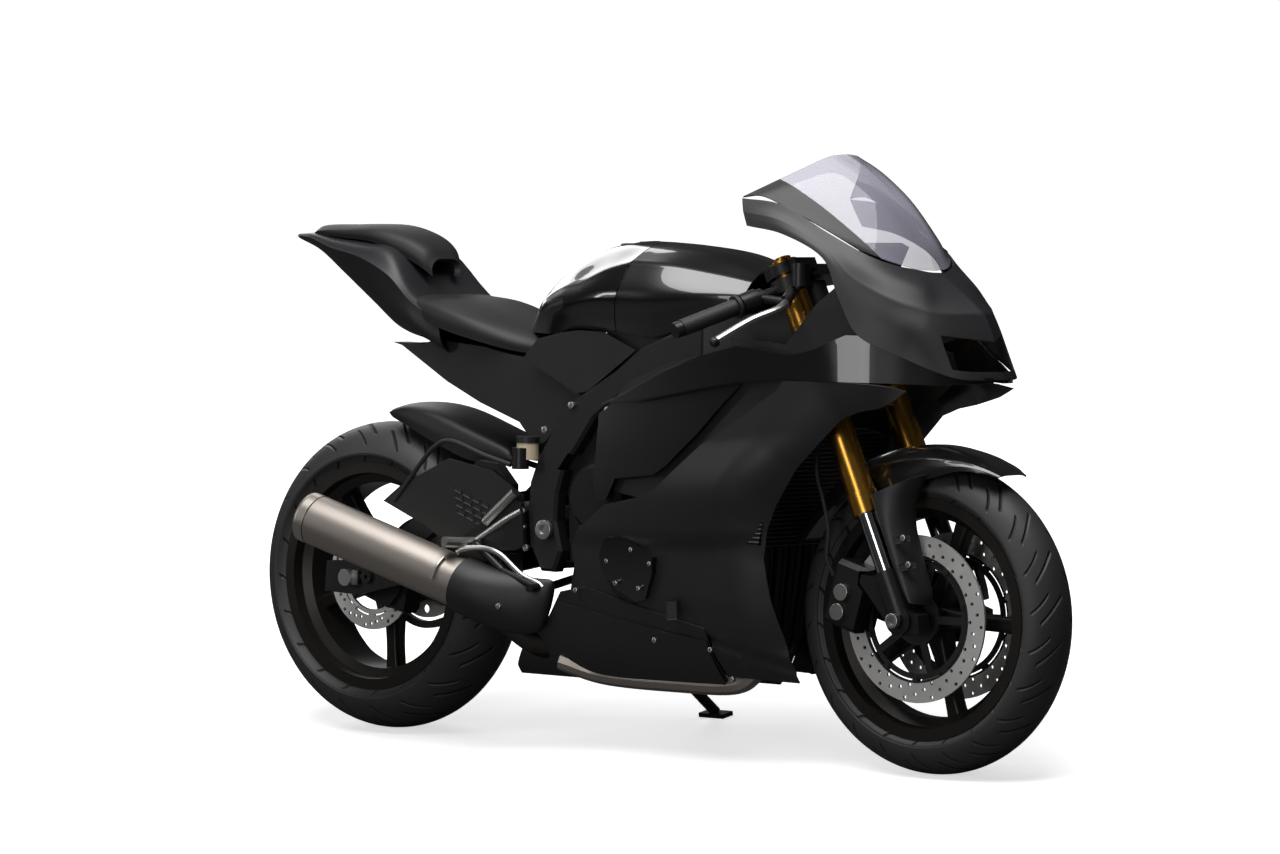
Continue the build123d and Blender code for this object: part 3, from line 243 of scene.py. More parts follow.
def draped(name, outline, surface, cell=12, wall=3.5, outward=(0, -1, 0), mirror=True):
    """A side view outline in (x, z) mm, divided into cells and laid on a surface: surface(x, z) is its y."""
    deselect_all()
    bpy.ops.mesh.primitive_circle_add(vertices=len(outline), fill_type="NGON")
    sheet = new_object(name)
    for vertex, (x, z) in zip(sheet.data.vertices, outline):
        vertex.co = (x * MM, 0, z * MM)
    with editing(sheet):
        for values, normal in zip(zip(*outline), ((1, 0, 0), (0, 0, 1))):
            for number in range(math.ceil(min(values) / cell), math.ceil(max(values) / cell)):
                bpy.ops.mesh.select_all(action="SELECT")
                bpy.ops.mesh.bisect(plane_co=[part * number * cell * MM for part in normal], plane_no=normal)
        bpy.ops.mesh.select_all(action="SELECT")
        bpy.ops.mesh.remove_doubles(threshold=CELL_WELD)
    for vertex in sheet.data.vertices:
        vertex.co.y = surface(vertex.co.x / MM, vertex.co.z / MM) * MM
    return finish_sheet(sheet, outward, mirror, wall)


def weld(obj):
    """Merges a mesh's doubles and turns its faces outwards."""
    with editing(obj):
        bpy.ops.mesh.select_all(action="SELECT")
        bpy.ops.mesh.remove_doubles(threshold=WELD)
        bpy.ops.mesh.normals_make_consistent(inside=False)
    return obj


def lathe(name, profile, steps, centre):
    """A ring spun round the bike's Y axis from a profile of (radius, y) in mm, about a centre in metres."""
    deselect_all()
    bpy.ops.mesh.primitive_circle_add(vertices=len(profile), fill_type="NOTHING")
    ring = new_object(name)
    for vertex, (radius, y) in zip(ring.data.vertices, profile):
        vertex.co = (radius * MM, y * MM, 0)
    with editing(ring):
        bpy.ops.mesh.select_all(action="SELECT")
        bpy.ops.mesh.spin(steps=steps, angle=2 * math.pi, center=(0, 0, 0), axis=(0, 1, 0))
    weld(ring).data.transform(Matrix.Translation(centre))
    return ring


def tube(name, points, radius):
    """A hose, cable or bent bar through points in mm, as a smooth round tube."""
    curve = bpy.data.curves.new(name, "CURVE")
    curve.dimensions = "3D"
    curve.bevel_depth, curve.bevel_resolution, curve.use_fill_caps = radius * MM, TUBE_SIDES, True
    route = [Vector(point) for point in points]
    count = (len(route) - 1) * TUBE_STEPS
    spline = curve.splines.new("POLY")
    spline.points.add(count)
    for step, point in enumerate(spline.points):
        point.co = (*hermite(route, (), step / count) * MM, 1)
    obj = bpy.data.objects.new(name, curve)
    bpy.context.scene.collection.objects.link(obj)
    only(obj)
    bpy.ops.object.convert(target="MESH")
    return weld(bpy.context.object)


def join(objects, name):
    """One object of several meshes of the same body and material."""
    deselect_all()
    for obj in objects:
        obj.select_set(True)
    bpy.context.view_layer.objects.active = objects[0]
    bpy.ops.object.join()
    objects[0].name = name
    return objects[0]


# ------------------------------------------------------------------ shader helpers
GROUPS = {}
MATERIALS = {}
COLOUR, FLOAT, VECTOR = "NodeSocketColor", "NodeSocketFloat", "NodeSocketVector"


class Nodes:
    """A node tree under construction, with short ways to add and link its nodes."""

    def __init__(self, tree):
        self.tree = tree

    def fill(self, socket, value):
        """Links a socket to another one, or gives it a plain value."""
        if isinstance(value, bpy.types.NodeSocket):
            self.tree.links.new(value, socket)
        else:
            socket.default_value = value

    def node(self, kind, **settings):
        """A new node with its settings, then its inputs by name, with _ for a space."""
        made = self.tree.nodes.new("ShaderNode" + kind)
        for key, value in settings.items():
            socket = made.inputs.get(key.replace("_", " "))
            if socket is None:
                setattr(made, key, value)
            else:
                self.fill(socket, value)
        return made

    def maths(self, operation, *values, clamp=False):
        """The result of one sum on plain values and sockets."""
        made = self.node("Math", operation=operation, use_clamp=clamp)
        for socket, value in zip(made.inputs, values):
            self.fill(socket, value)
        return made.outputs[0]

    def mix(self, share, first, second):
        """The first colour, turning to the second as the share goes to one."""
        return self.node("Mix", data_type="RGBA", Factor=share, A=first, B=second).outputs["Result"]

    def ramp(self, value, start, end):
        """The value spread from the range start to the range end."""
        made = self.node("MapRange", Value=value, From_Min=start[0], From_Max=start[1], To_Min=end[0],
                         To_Max=end[1])
        return made.outputs["Result"]

    def length(self, place_at):
        """How far a place is from the origin."""
        return self.node("VectorMath", operation="LENGTH", Vector=place_at).outputs["Value"]

    def scaled(self, colour, share):
        """A colour times a share."""
        return self.node("VectorMath", operation="SCALE", Vector=colour, Scale=share).outputs["Vector"]

    def noise(self, place_at, scale, detail):
        """A cloudy pattern from 0 to 1."""
        return self.node("TexNoise", Vector=place_at, Scale=scale, Detail=detail).outputs["Fac"]


class Group(Nodes):
    """A shader group under construction, with inputs of (name, kind, default) and outputs of (name, kind)."""

    def __init__(self, name, inputs, outputs):
        super().__init__(bpy.data.node_groups.new(name, "ShaderNodeTree"))
        for socket, kind, default in inputs:
            made = self.tree.interface.new_socket(name=socket, in_out="INPUT", socket_type=kind)
            if default is not None:
                made.default_value = default
        for socket, kind in outputs:
            self.tree.interface.new_socket(name=socket, in_out="OUTPUT", socket_type=kind)
        self.given = self.tree.nodes.new("NodeGroupInput").outputs
        self.results = self.tree.nodes.new("NodeGroupOutput").inputs

    def finish(self, **values):
        """Links the group's outputs, and returns its tree."""
        for key, value in values.items():
            self.fill(self.results[key], value)
        return self.tree


class Shader(Nodes):
    """A material under construction, kept under its name."""

    def __init__(self, name):
        self.material = bpy.data.materials.new(name)
        self.material.use_nodes = True
        MATERIALS[name] = self.material
        super().__init__(self.material.node_tree)
        self.surface = self.tree.nodes["Principled BSDF"].inputs

    def put(self, **values):
        """Links or sets the surface's inputs, by name with _ for a space."""
        for key, value in values.items():
            self.fill(self.surface[key.replace("_", " ")], value)

    def tint(self, mask, colour):
        """Turns the surface to another colour where the mask is one."""
        source = self.surface["Base Color"].links[0].from_socket
        self.put(Base_Color=self.mix(mask, source, (*colour, 1)))

    def object_place(self, origin=(0, 0, 0)):
        """Object coordinates turned back to the upright bike, from an origin in its frame."""
        upright = self.node("Mapping", vector_type="TEXTURE", Vector=self.node("TexCoord").outputs["Object"],
                            Location=PARKED @ Vector(origin), Rotation=PARKED.to_euler())
        return upright.outputs["Vector"]

    def bump(self, height, strength, distance):
        """Raises the surface by a height, over a distance in metres."""
        made = self.node("Bump", Strength=strength, Distance=distance, Height=height)
        self.put(Normal=made.outputs["Normal"])


# ------------------------------------------------------------------ materials
MOTTLE_SCALE, MOTTLE_DETAIL, GRAIN_DETAIL = 9, 5, 2
DUST_COLOUR = (0.25, 0.24, 0.22, 1)
GRAIN_HEIGHT, BRUSH_HEIGHT, GROOVE_HEIGHT, FIN_HEIGHT = 0.0002, 0.0003, 0.003, 0.002    # in metres
BRUSH_SCALE, BRUSH_DETAIL, BRUSH_TONES, BRUSH_BUMP = 60, 4, (0.75, 1.25), 0.15
# The first is painted shade for the tyres' grooves, which are only bumps in the tread; then the tone of the
# discs' black carrier and of the screen's smoke.
GROOVE_SHADE, CARRIER_TONE, SMOKE_TONE = (0.002, 0.002, 0.002), (0.012, 0.012, 0.013), (0.10, 0.10, 0.11)
RING_METALLIC = 0.75
GROOVE_SIDE_SHIFT = 0.25        # share of a pitch by which each side's grooves are turned
GROOVE_FADE = 400               # steepness of a groove's ends
# The radiator core's rows: pitch in metres; the rows' tone and the painted shade in the gaps between them;
# the wave below which the painted shade is full; bump strength.
FIN_PITCH, FIN_TONE_AND_GAP_SHADE, FIN_FROM, FIN_BUMP = 0.0085, (0.005, 0.12), 0.1, 0.8
SCREEN_BLEND = 0.35
DENSE_FROM_TO, DENSE_ALPHA = (0.35, 0.8), (0.42, 0.92)     # facing, and how dense the screen is there
SMOKE_FROM_TO = (0.5, 0.75)                                # facing, as the screen turns to smoke


def grain_group():
    """Mottled colour and roughness with a fine grain, for moulded, painted and cast surfaces."""
    group = Group(
        "Surface Grain",
        [("Vector", VECTOR, None), ("Colour", COLOUR, (0.02, 0.02, 0.02, 1)), ("Mottle", FLOAT, 0.15),
         ("Roughness", FLOAT, 0.4), ("Roughness Spread", FLOAT, 0.08), ("Grain Scale", FLOAT, 900.0),
         ("Dust", FLOAT, 0.02)],
        [("Colour", COLOUR), ("Roughness", FLOAT), ("Height", FLOAT)])
    given, maths = group.given, group.maths
    broad = group.noise(given["Vector"], MOTTLE_SCALE, MOTTLE_DETAIL)
    fine = group.noise(given["Vector"], given["Grain Scale"], GRAIN_DETAIL)
    centred = maths("SUBTRACT", broad, 0.5)
    shade = group.scaled(given["Colour"], maths("MULTIPLY_ADD", centred, given["Mottle"], 1))
    return group.finish(
        Colour=group.mix(maths("MULTIPLY", broad, given["Dust"]), shade, DUST_COLOUR),
        Roughness=maths("MULTIPLY_ADD", centred, given["Roughness Spread"], given["Roughness"]),
        Height=fine)


def tread_group():
    """Slanted grooves round a tyre's shoulders: a mask, from a place about the wheel's axle."""
    group = Group(
        "Tyre Tread",
        [("Vector", VECTOR, None), ("Grooves", FLOAT, 26.0), ("Slant", FLOAT, 9.0), ("Curve", FLOAT, 60.0),
         ("Inner", FLOAT, 0.008), ("Outer", FLOAT, 0.046), ("Width", FLOAT, 0.1), ("Phase", FLOAT, 0.0)],
        [("Mask", FLOAT)])
    given, maths = group.given, group.maths
    parts = group.node("SeparateXYZ", Vector=given["Vector"]).outputs
    turns = maths("MULTIPLY", maths("ARCTAN2", parts["Z"], parts["X"]), 1 / (2 * math.pi))
    around = maths("MULTIPLY", turns, given["Grooves"])
    away = maths("ABSOLUTE", parts["Y"])
    side = maths("MULTIPLY", maths("SIGN", parts["Y"]), GROOVE_SIDE_SHIFT)
    slant = maths("MULTIPLY_ADD", away, given["Slant"], around)
    curved = maths("MULTIPLY_ADD", maths("MULTIPLY", away, away), given["Curve"], slant)
    moved = maths("ADD", maths("ADD", curved, given["Phase"]), side)
    line = maths("ABSOLUTE", maths("SUBTRACT", maths("FRACT", moved), 0.5))
    thin = maths("SUBTRACT", 1, maths("DIVIDE", line, given["Width"]), clamp=True)
    low = maths("MULTIPLY", maths("SUBTRACT", away, given["Inner"]), GROOVE_FADE, clamp=True)
    high = maths("MULTIPLY", maths("SUBTRACT", given["Outer"], away), GROOVE_FADE, clamp=True)
    return group.finish(Mask=maths("MULTIPLY", maths("MULTIPLY", thin, low), high))


def brushed_group():
    """Fine lines along one direction, for brushed metal: a colour, a roughness and a height."""
    group = Group(
        "Brushed Lines",
        [("Vector", VECTOR, None), ("Colour", COLOUR, (0.4, 0.4, 0.4, 1)), ("Roughness", FLOAT, 0.3),
         ("Depth", FLOAT, 0.12)],
        [("Colour", COLOUR), ("Roughness", FLOAT), ("Height", FLOAT)])
    given = group.given
    lines = group.noise(given["Vector"], BRUSH_SCALE, BRUSH_DETAIL)
    return group.finish(
        Colour=group.scaled(given["Colour"], group.ramp(lines, (0, 1), BRUSH_TONES)),
        Roughness=group.maths("MULTIPLY_ADD", lines, given["Depth"], given["Roughness"]),
        Height=lines)


def grained(name, colour, roughness, metallic=0.0, mottle=0.15, spread=0.08, grain=900.0, bump=0.12,
            dust=0.01, coat=0.0, coat_roughness=0.05):
    """A material whose colour, roughness and bump come from the grain group."""
    shader = Shader(name)
    look = shader.node("Group", node_tree=GROUPS["grain"], Vector=shader.object_place(), Colour=(*colour, 1),
                       Mottle=mottle, Roughness=roughness, Roughness_Spread=spread, Grain_Scale=grain,
                       Dust=dust).outputs
    shader.put(Base_Color=look["Colour"], Roughness=look["Roughness"], Metallic=metallic, Coat_Weight=coat,
               Coat_Roughness=coat_roughness)
    shader.bump(look["Height"], bump, GRAIN_HEIGHT)
    return shader


def brushed(name, colour, roughness, scale):
    """A metal brushed along its own length: scale squeezes the pattern across the brushing."""
    shader = Shader(name)
    squeezed = shader.node("Mapping", Vector=shader.object_place(), Scale=scale).outputs["Vector"]
    look = shader.node("Group", node_tree=GROUPS["brushed"], Vector=squeezed, Colour=(*colour, 1),
                       Roughness=roughness).outputs
    shader.put(Base_Color=look["Colour"], Roughness=look["Roughness"], Metallic=1)
    shader.bump(look["Height"], BRUSH_BUMP, BRUSH_HEIGHT)


def tyre_material(name, centre, rows):
    """Rubber with rows of slanted grooves, lower than the tread round them and darkened with painted shade.
    """
    shader = grained(name, (0.03, 0.03, 0.031), 0.55, mottle=0.25, grain=1200, bump=0.0, dust=0.02)
    spot = shader.object_place(origin=centre)
    masks = [shader.node("Group", node_tree=GROUPS["tread"], Vector=spot, **dict(zip(TREAD_COLUMNS, row)))
             for row in rows]
    deepest = shader.maths("MAXIMUM", *[mask.outputs["Mask"] for mask in masks])
    # painted shade in the grooves, over the rubber's colour
    shader.tint(deepest, GROOVE_SHADE)
    shader.bump(shader.maths("SUBTRACT", 1, deepest), 1.0, GROOVE_HEIGHT)


def disc_material(name, axle, edge):
    """A bright braking ring round a black carrier: edge is the ring's inner radius in metres."""
    shader = grained(name, (0.78, 0.77, 0.75), 0.42, metallic=1, mottle=0.2, grain=500, bump=0.1, dust=0.02)
    flat = shader.node("VectorMath", operation="MULTIPLY", Vector=shader.object_place(origin=axle))
    flat.inputs[1].default_value = (1, 0, 1)
    inside = shader.maths("LESS_THAN", shader.length(flat.outputs["Vector"]), edge)
    shader.tint(inside, CARRIER_TONE)
    shader.put(Metallic=shader.maths("SUBTRACT", RING_METALLIC, inside, clamp=True))


def core_material(name):
    """A radiator core: rows of fins between flat tubes, with painted shade in the gaps between the rows."""
    shader = grained(name, (0.03, 0.03, 0.032), 0.45, metallic=0.5, grain=700, bump=0)
    height = shader.node("SeparateXYZ", Vector=shader.object_place()).outputs["Z"]
    wave = shader.maths("SINE", shader.maths("MULTIPLY", height, 2 * math.pi / FIN_PITCH))
    # lighter rows, grading to painted shade in the gaps between them
    shader.put(Base_Color=shader.ramp(wave, (FIN_FROM, 1), FIN_TONE_AND_GAP_SHADE))
    shader.bump(wave, FIN_BUMP, FIN_HEIGHT)


def screen_material(name):
    """Smoked clear plastic, denser and darker where it is seen edge on."""
    shader = grained(name, (0.34, 0.33, 0.40), 0.05, bump=0, dust=0, mottle=0)
    facing = shader.node("LayerWeight", Blend=SCREEN_BLEND).outputs["Facing"]
    shader.put(Alpha=shader.ramp(facing, DENSE_FROM_TO, DENSE_ALPHA))
    shader.tint(shader.ramp(facing, SMOKE_FROM_TO, (0, 1)), SMOKE_TONE)


TREAD_COLUMNS = ("Grooves", "Slant", "Curve", "Inner", "Outer", "Width", "Phase")
FRONT_TREAD = [(22, 9.0, 110.0, 0.007, 0.050, 0.07, 0.0), (22, 14.0, 60.0, 0.034, 0.058, 0.06, 0.45)]
REAR_TREAD = [(20, 8.0, 60.0, 0.016, 0.066, 0.075, 0.0), (20, 11.0, 40.0, 0.050, 0.084, 0.06, 0.45)]
FRONT_RING, REAR_RING = 0.122, 0.070            # inner radius of the discs' braking rings, in metres
CAN_BRUSHING = (6, 40, 40)


def make_materials(paint):
    """Every material, by the name of its finish."""
    GROUPS["grain"], GROUPS["tread"], GROUPS["brushed"] = grain_group(), tread_group(), brushed_group()
    grained("satin_black_panel", paint.panel, 0.45, mottle=0.1, grain=1800, bump=0.05)
    grained("gloss_black_panel", paint.gloss, 0.3, mottle=0.05, bump=0, dust=0, coat=1, coat_roughness=0.03)
    grained("tank_paint", paint.gloss, 0.22, mottle=0.05, bump=0, dust=0, coat=1, coat_roughness=0.02)
    grained("black_plastic", (0.007, 0.007, 0.007), 0.5, grain=1400, bump=0.25)
    grained("seat_cover", (0.007, 0.007, 0.008), 0.6, grain=700, bump=0.5)
    grained("frame_paint", (0.005, 0.005, 0.005), 0.45, grain=1500, bump=0.15)
    grained("gold_anodised", paint.fork, 0.26, metallic=1, mottle=0.1, grain=600, bump=0.02, dust=0)
    grained("chrome_tube", (0.72, 0.73, 0.75), 0.08, metallic=1, mottle=0.03, spread=0.03, bump=0, dust=0)
    grained("black_aluminium", (0.014, 0.014, 0.015), 0.36, metallic=0.4, grain=1200, bump=0.2)
    grained("bare_aluminium", (0.55, 0.54, 0.52), 0.34, metallic=1, mottle=0.2, grain=900, bump=0.15)
    grained("rim_paint", paint.rim, 0.36, metallic=0.6, grain=1600, bump=0.08)
    grained("tyre_rubber", (0.014, 0.014, 0.015), 0.62, grain=1200, bump=0.3)
    grained("disc_steel", (0.60, 0.59, 0.57), 0.3, metallic=1, mottle=0.15, grain=500, bump=0.1)
    brushed("titanium", (0.40, 0.36, 0.325), 0.40, CAN_BRUSHING)
    brushed("titanium_cap", (0.50, 0.46, 0.42), 0.32, CAN_BRUSHING)
    grained("burnt_steel", (0.055, 0.05, 0.045), 0.45, metallic=0.9, grain=500, bump=0.2)
    grained("cream_plastic", (0.55, 0.47, 0.33), 0.4, grain=600, bump=0.05)
    tyre_material("front_tyre_tread", FRONT_AXLE, FRONT_TREAD)
    tyre_material("rear_tyre_tread", REAR_AXLE, REAR_TREAD)
    disc_material("front_disc_rings", FRONT_AXLE, FRONT_RING)
    disc_material("rear_disc_rings", REAR_AXLE, REAR_RING)
    core_material("radiator_core")
    grained("grip_rubber", (0.012, 0.012, 0.012), 0.6, grain=900, bump=0.4)
    grained("engine_metal", (0.02, 0.02, 0.021), 0.5, metallic=0.3, grain=500, bump=0.5)
    grained("chain_steel", (0.05, 0.045, 0.04), 0.4, metallic=0.8, grain=800, bump=0.3)
    screen_material("clear_screen")


# ------------------------------------------------------------------ the CAD nodes and the stage
OWN_LOOKS = {"front_discs": "front_disc_rings", "rear_disc": "rear_disc_rings", "radiator": "radiator_core",
             "rearsets": "black_aluminium", "exhaust_header": "burnt_steel"}
GLOW_REACH, GLOW_TONES = (0.9, 3.0), (0.62, 1.0)        # the floor's glow: distances in metres, and strengths
FLOOR_TONES = ((0.1, 0.1, 0.1, 1), (0.9, 0.9, 0.9, 1))  # what the bike mirrors, and what the camera sees
SKY, FILL, FILL_STRENGTH = (1, 1, 1, 1), (0.95, 0.97, 1, 1), 0.035
STREAK_SHARE = 0.35                                     # the streak's power over the side light's
LIGHTS = [  # name, place, aim, size, which power, share of it
    ("overhead", (0.3, -0.6, 3.4), (0, 0, 0.5), (3.6, 2.2), "key_power", 1),
    ("side", (0.9, -4.4, 1.7), (0.1, 0, 0.5), (1.2, 2.4), "side_power", 1),
    ("behind", (-3.2, 2.2, 2.2), (0, 0, 0.6), (1.6, 2.4), "side_power", 1),
    ("streak", (-3.3, -2.5, 1.9), (0, -0.1, 0.6), (0.25, 1.8), "side_power", STREAK_SHARE),
]


class OBJECT_OT_motorcycle_frame_looks(bpy.types.Operator):
    """Give every CAD node its own finish"""
    bl_idname = "object.motorcycle_frame_looks"
    bl_label = "Finish CAD Nodes"

    def execute(self, context):
        make_materials(context.scene.motorcycle_paint)
        slots = {part["node"]: part["material_slot"] for part in frame["record"]["subparts"]}
        for name, node in frame["nodes"].items():
            node.data.materials.clear()
            node.data.materials.append(MATERIALS[OWN_LOOKS.get(name, slots[name])])
        return {"FINISHED"}


def add_floor(size):
    """A floor that the camera sees as a white ground, with the bike's shadow on it."""
    deselect_all()
    bpy.ops.mesh.primitive_grid_add(x_subdivisions=4, y_subdivisions=4, size=size)
    floor = new_object("studio_floor")
    look = Shader("studio_floor")
    seen = look.node("LightPath").outputs["Is Camera Ray"]
    glow = look.ramp(look.length(look.object_place()), GLOW_REACH, GLOW_TONES)
    look.put(Roughness=0.6, Specular_IOR_Level=0.1, Emission_Color=(1, 1, 1, 1),
             Emission_Strength=look.maths("MULTIPLY", seen, glow), Base_Color=look.mix(seen, *FLOOR_TONES))
    floor.data.materials.append(look.material)


def add_sky(scene):
    """A white background for the camera, and a weak fill for the bike."""
    scene.world = bpy.data.worlds.new("studio")
    scene.world.use_nodes = True
    sky = Nodes(scene.world.node_tree)
    shown = sky.tree.nodes["Background"]
    shown.inputs["Color"].default_value = SKY
    fill = sky.node("Background", Color=FILL, Strength=FILL_STRENGTH)
    either = sky.node("MixShader")
    sources = (sky.node("LightPath").outputs["Is Camera Ray"], fill.outputs[0], shown.outputs[0])
    for socket, source in zip(either.inputs, sources):
        sky.fill(socket, source)
    sky.fill(sky.tree.nodes["World Output"].inputs["Surface"], either.outputs[0])


def add_light(name, where, aim, size, power):
    """A softbox at a place, aimed at another."""
    lamp = bpy.data.lights.new(name, "AREA")
    lamp.shape, lamp.size, lamp.size_y, lamp.energy = "RECTANGLE", *size, power
    holder = bpy.data.objects.new(name, lamp)
    holder.location = where
    holder.rotation_euler = (Vector(aim) - Vector(where)).to_track_quat("-Z", "Y").to_euler()
    bpy.context.scene.collection.objects.link(holder)


def add_camera(scene):
    """The camera of the reference view."""
    a, e, r = CAMERA_AZIMUTH, CAMERA_ELEVATION, CAMERA_ROLL
    back = Vector((math.sin(a) * math.cos(e), -math.cos(a) * math.cos(e), math.sin(e)))
    side = Vector((math.cos(a), math.sin(a), 0))
    up = back.cross(side)
    right, top = side * math.cos(r) + up * math.sin(r), up * math.cos(r) - side * math.sin(r)
    turn = Matrix((right, top, back)).transposed().to_4x4()
    camera = bpy.data.objects.new("camera", bpy.data.cameras.new("camera"))
    camera.data.lens, camera.data.sensor_width = CAMERA_LENS, CAMERA_SENSOR
    camera.matrix_world = PARKED @ Matrix.Translation(CAMERA_AIM + back * CAMERA_DISTANCE) @ turn
    scene.collection.objects.link(camera)
    scene.camera = camera


class OBJECT_OT_motorcycle_stage(bpy.types.Operator):
    """Add the studio floor, the lights and the camera"""
    bl_idname = "object.motorcycle_stage"
    bl_label = "Studio Stage"

    def execute(self, context):
        settings = context.scene.motorcycle_stage
        add_floor(settings.floor_size)
        add_sky(context.scene)
        for *lamp, power, share in LIGHTS:
            add_light(*lamp, getattr(settings, power) * share)
        add_camera(context.scene)
        context.scene.view_settings.view_transform = "Standard"
        return {"FINISHED"}


# ------------------------------------------------------------------ tyres
TYRES = [  # name, body, centre, outside radius, half width, shoulder drop, half rim width
    ("front_tyre_tread", "front_wheel", FRONT_AXLE, 300, 60, 52, 52),
    ("rear_tyre_tread", "rear_wheel", REAR_AXLE, 315, 90, 62, 76),
]
RIM_RADIUS, BEAD_RADIUS, BEAD_INSET = 233, 219, 7
RUBBER = 9                  # thickness under the tread
CROWN_STEPS, TYRE_STEPS = 12, 160


def tyre_profile(radius, half, drop, rim_half):
    """(radius, y) round a tyre: the crown's arc, two ribbed sidewalls and the beads."""
    own = (drop * drop + half * half) / (2 * drop)
    centre = radius - own
    widest = math.atan2(half, radius - drop - centre)
    turns = [widest * k / CROWN_STEPS for k in range(CROWN_STEPS + 1)]
    crown = [(centre + own * math.cos(turn), own * math.sin(turn)) for turn in turns]
    wall = [(radius - drop - 2, half), (radius - drop - 3, half - 1.2), (radius - drop - 5, half - 1.2),
            (RIM_RADIUS + 9, rim_half + 4), (RIM_RADIUS + 4, rim_half + 1.5), (RIM_RADIUS + 1, rim_half - 2),
            (BEAD_RADIUS, rim_half - BEAD_INSET), (BEAD_RADIUS, rim_half - BEAD_INSET - 7),
            (radius - drop - 8, half - RUBBER)]
    inside = [(radius - RUBBER - drop * 0.35, half * 0.55)]
    left = crown + wall + inside
    right = [(r, -y) for r, y in reversed(left[1:])]
    return left + [(radius - RUBBER, 0)] + right


class OBJECT_OT_motorcycle_tyres(bpy.types.Operator):
    """Add both tyres"""
    bl_idname = "object.motorcycle_tyres"
    bl_label = "Tyres"

    def execute(self, context):
        for name, body, centre, *sizes in TYRES:
            ring = lathe(name, tyre_profile(*sizes), TYRE_STEPS, centre)
            place(ring, body, name, [body.split("_")[0] + "_tyre"])
        return {"FINISHED"}


# ------------------------------------------------------------------ tank
TANK_STATIONS = [  # rear to front; each from the crest over the shoulder crease to the lower edge
    [(-298, 0, 827), (-296, -20, 826), (-292, -36, 825), (-288, -48, 824),
     (-284, -54, 823), (-280, -58, 822)],
    [(-253, 0, 901), (-250, -40, 896), (-243, -70, 882), (-238, -84, 862),
     (-236, -86, 842), (-236, -84, 822)],
    [(-185, 0, 959), (-182, -48, 951), (-172, -94, 915), (-172, -112, 888),
     (-180, -110, 855), (-190, -104, 822)],
    [(-116, 0, 991), (-112, -60, 979), (-108, -118, 925), (-110, -140, 892),
     (-120, -130, 858), (-132, -118, 828)],
    [(-39, 0, 1007), (-38, -64, 996), (-40, -126, 950), (-45, -156, 904),
     (-55, -144, 864), (-60, -126, 832)],
    [(34, 0, 1007), (34, -66, 998), (32, -130, 968), (24, -164, 908),
     (8, -150, 862), (-4, -130, 830)],
    [(125, 0, 1001), (125, -68, 993), (125, -132, 964), (128, -166, 908),
     (124, -156, 866), (110, -142, 824)],
    [(215, 0, 988), (216, -64, 980), (220, -122, 950), (228, -150, 912),
     (230, -148, 888), (215, -142, 862)],
    [(300, 0, 962), (302, -60, 952), (306, -98, 934), (308, -120, 914),
     (306, -126, 902), (300, -126, 890)],
]
TANK_SPLIT = 5       # the station where the painted tank ends and the front cover starts
TANK_GAP = 2         # between the tank and its front cover
TANK_WALL = 4
SHOULDER = (2,)      # the crease is the third point of a station


class OBJECT_OT_motorcycle_tank(bpy.types.Operator):
    """Add the painted tank and its front cover"""
    bl_idname = "object.motorcycle_tank"
    bl_label = "Tank"

    def execute(self, context):
        rear = TANK_STATIONS[:TANK_SPLIT + 1]
        tank = loft("tank_shell", rear, corners=SHOULDER, steps=(8, 6), wall=TANK_WALL)
        place(tank, "chassis", "tank_paint", ["fuel_tank"])
        front = [[(x + TANK_GAP, y, z) for x, y, z in station] for station in TANK_STATIONS[TANK_SPLIT:]]
        cover = loft("tank_front_cover", front, corners=SHOULDER, steps=(8, 8), wall=TANK_WALL)
        place(cover, "chassis", "gloss_black_panel", ["tank_cover"])
        return {"FINISHED"}


# ------------------------------------------------------------------ seats and tail
SEAT_STATIONS = [  # rear to front; each from the middle over the edge to the lower side
    [(-532, 0, 893), (-532, -70, 893), (-528, -116, 888), (-522, -130, 872), (-518, -130, 850)],
    [(-450, 0, 880), (-450, -84, 883), (-448, -130, 872), (-446, -144, 852), (-446, -142, 826)],
    [(-375, 0, 862), (-375, -80, 862), (-372, -126, 850), (-368, -140, 832), (-366, -138, 806)],
    [(-300, 0, 838), (-300, -62, 836), (-296, -98, 824), (-290, -112, 806), (-288, -108, 786)],
    [(-238, 0, 815), (-238, -44, 812), (-236, -66, 804), (-234, -76, 792), (-232, -74, 778)],
]
PAD_SECTIONS = [  # x, height of the top, half width, depth of the side
    (-893, 1022, 30, 14), (-860, 1031, 48, 22), (-780, 1033, 66, 28), (-690, 1033, 78, 36),
    (-620, 1016, 72, 44), (-575, 992, 60, 44), (-556, 965, 44, 36),
]
TAIL_STATIONS = [  # rear to front; each from the top middle over the side crease to the bottom middle
    [(-950, 0, 1012), (-950, -12, 1011), (-949, -17, 1007), (-948, -12, 1002), (-948, 0, 1001)],
    [(-884, 0, 1012), (-882, -40, 1013), (-880, -54, 1004), (-866, -36, 978), (-864, 0, 974)],
    [(-800, 0, 1008), (-800, -64, 1002), (-792, -88, 984), (-786, -54, 934), (-784, 0, 926)],
    [(-700, 0, 1000), (-700, -84, 992), (-690, -114, 966), (-690, -76, 880), (-688, 0, 862)],
    [(-612, 0, 960), (-622, -88, 980), (-600, -128, 930), (-604, -100, 836), (-604, 0, 806)],
    [(-545, 0, 880), (-548, -100, 898), (-536, -134, 880), (-520, -120, 812), (-520, 0, 788)],
    [(-470, 0, 850), (-470, -108, 862), (-462, -134, 842), (-452, -120, 782), (-452, 0, 764)],
]
PAD_SHAPE = [  # across the pad: share of the half width, share of the depth, and mm below the top
    (0, 0, 0), (-0.55, 0, 1), (-0.88, 0, 9), (-1, 0.6, 0), (-0.96, 1, 0)]
CUSHION_WALL, CUSHION_FILL = 12, 0.9


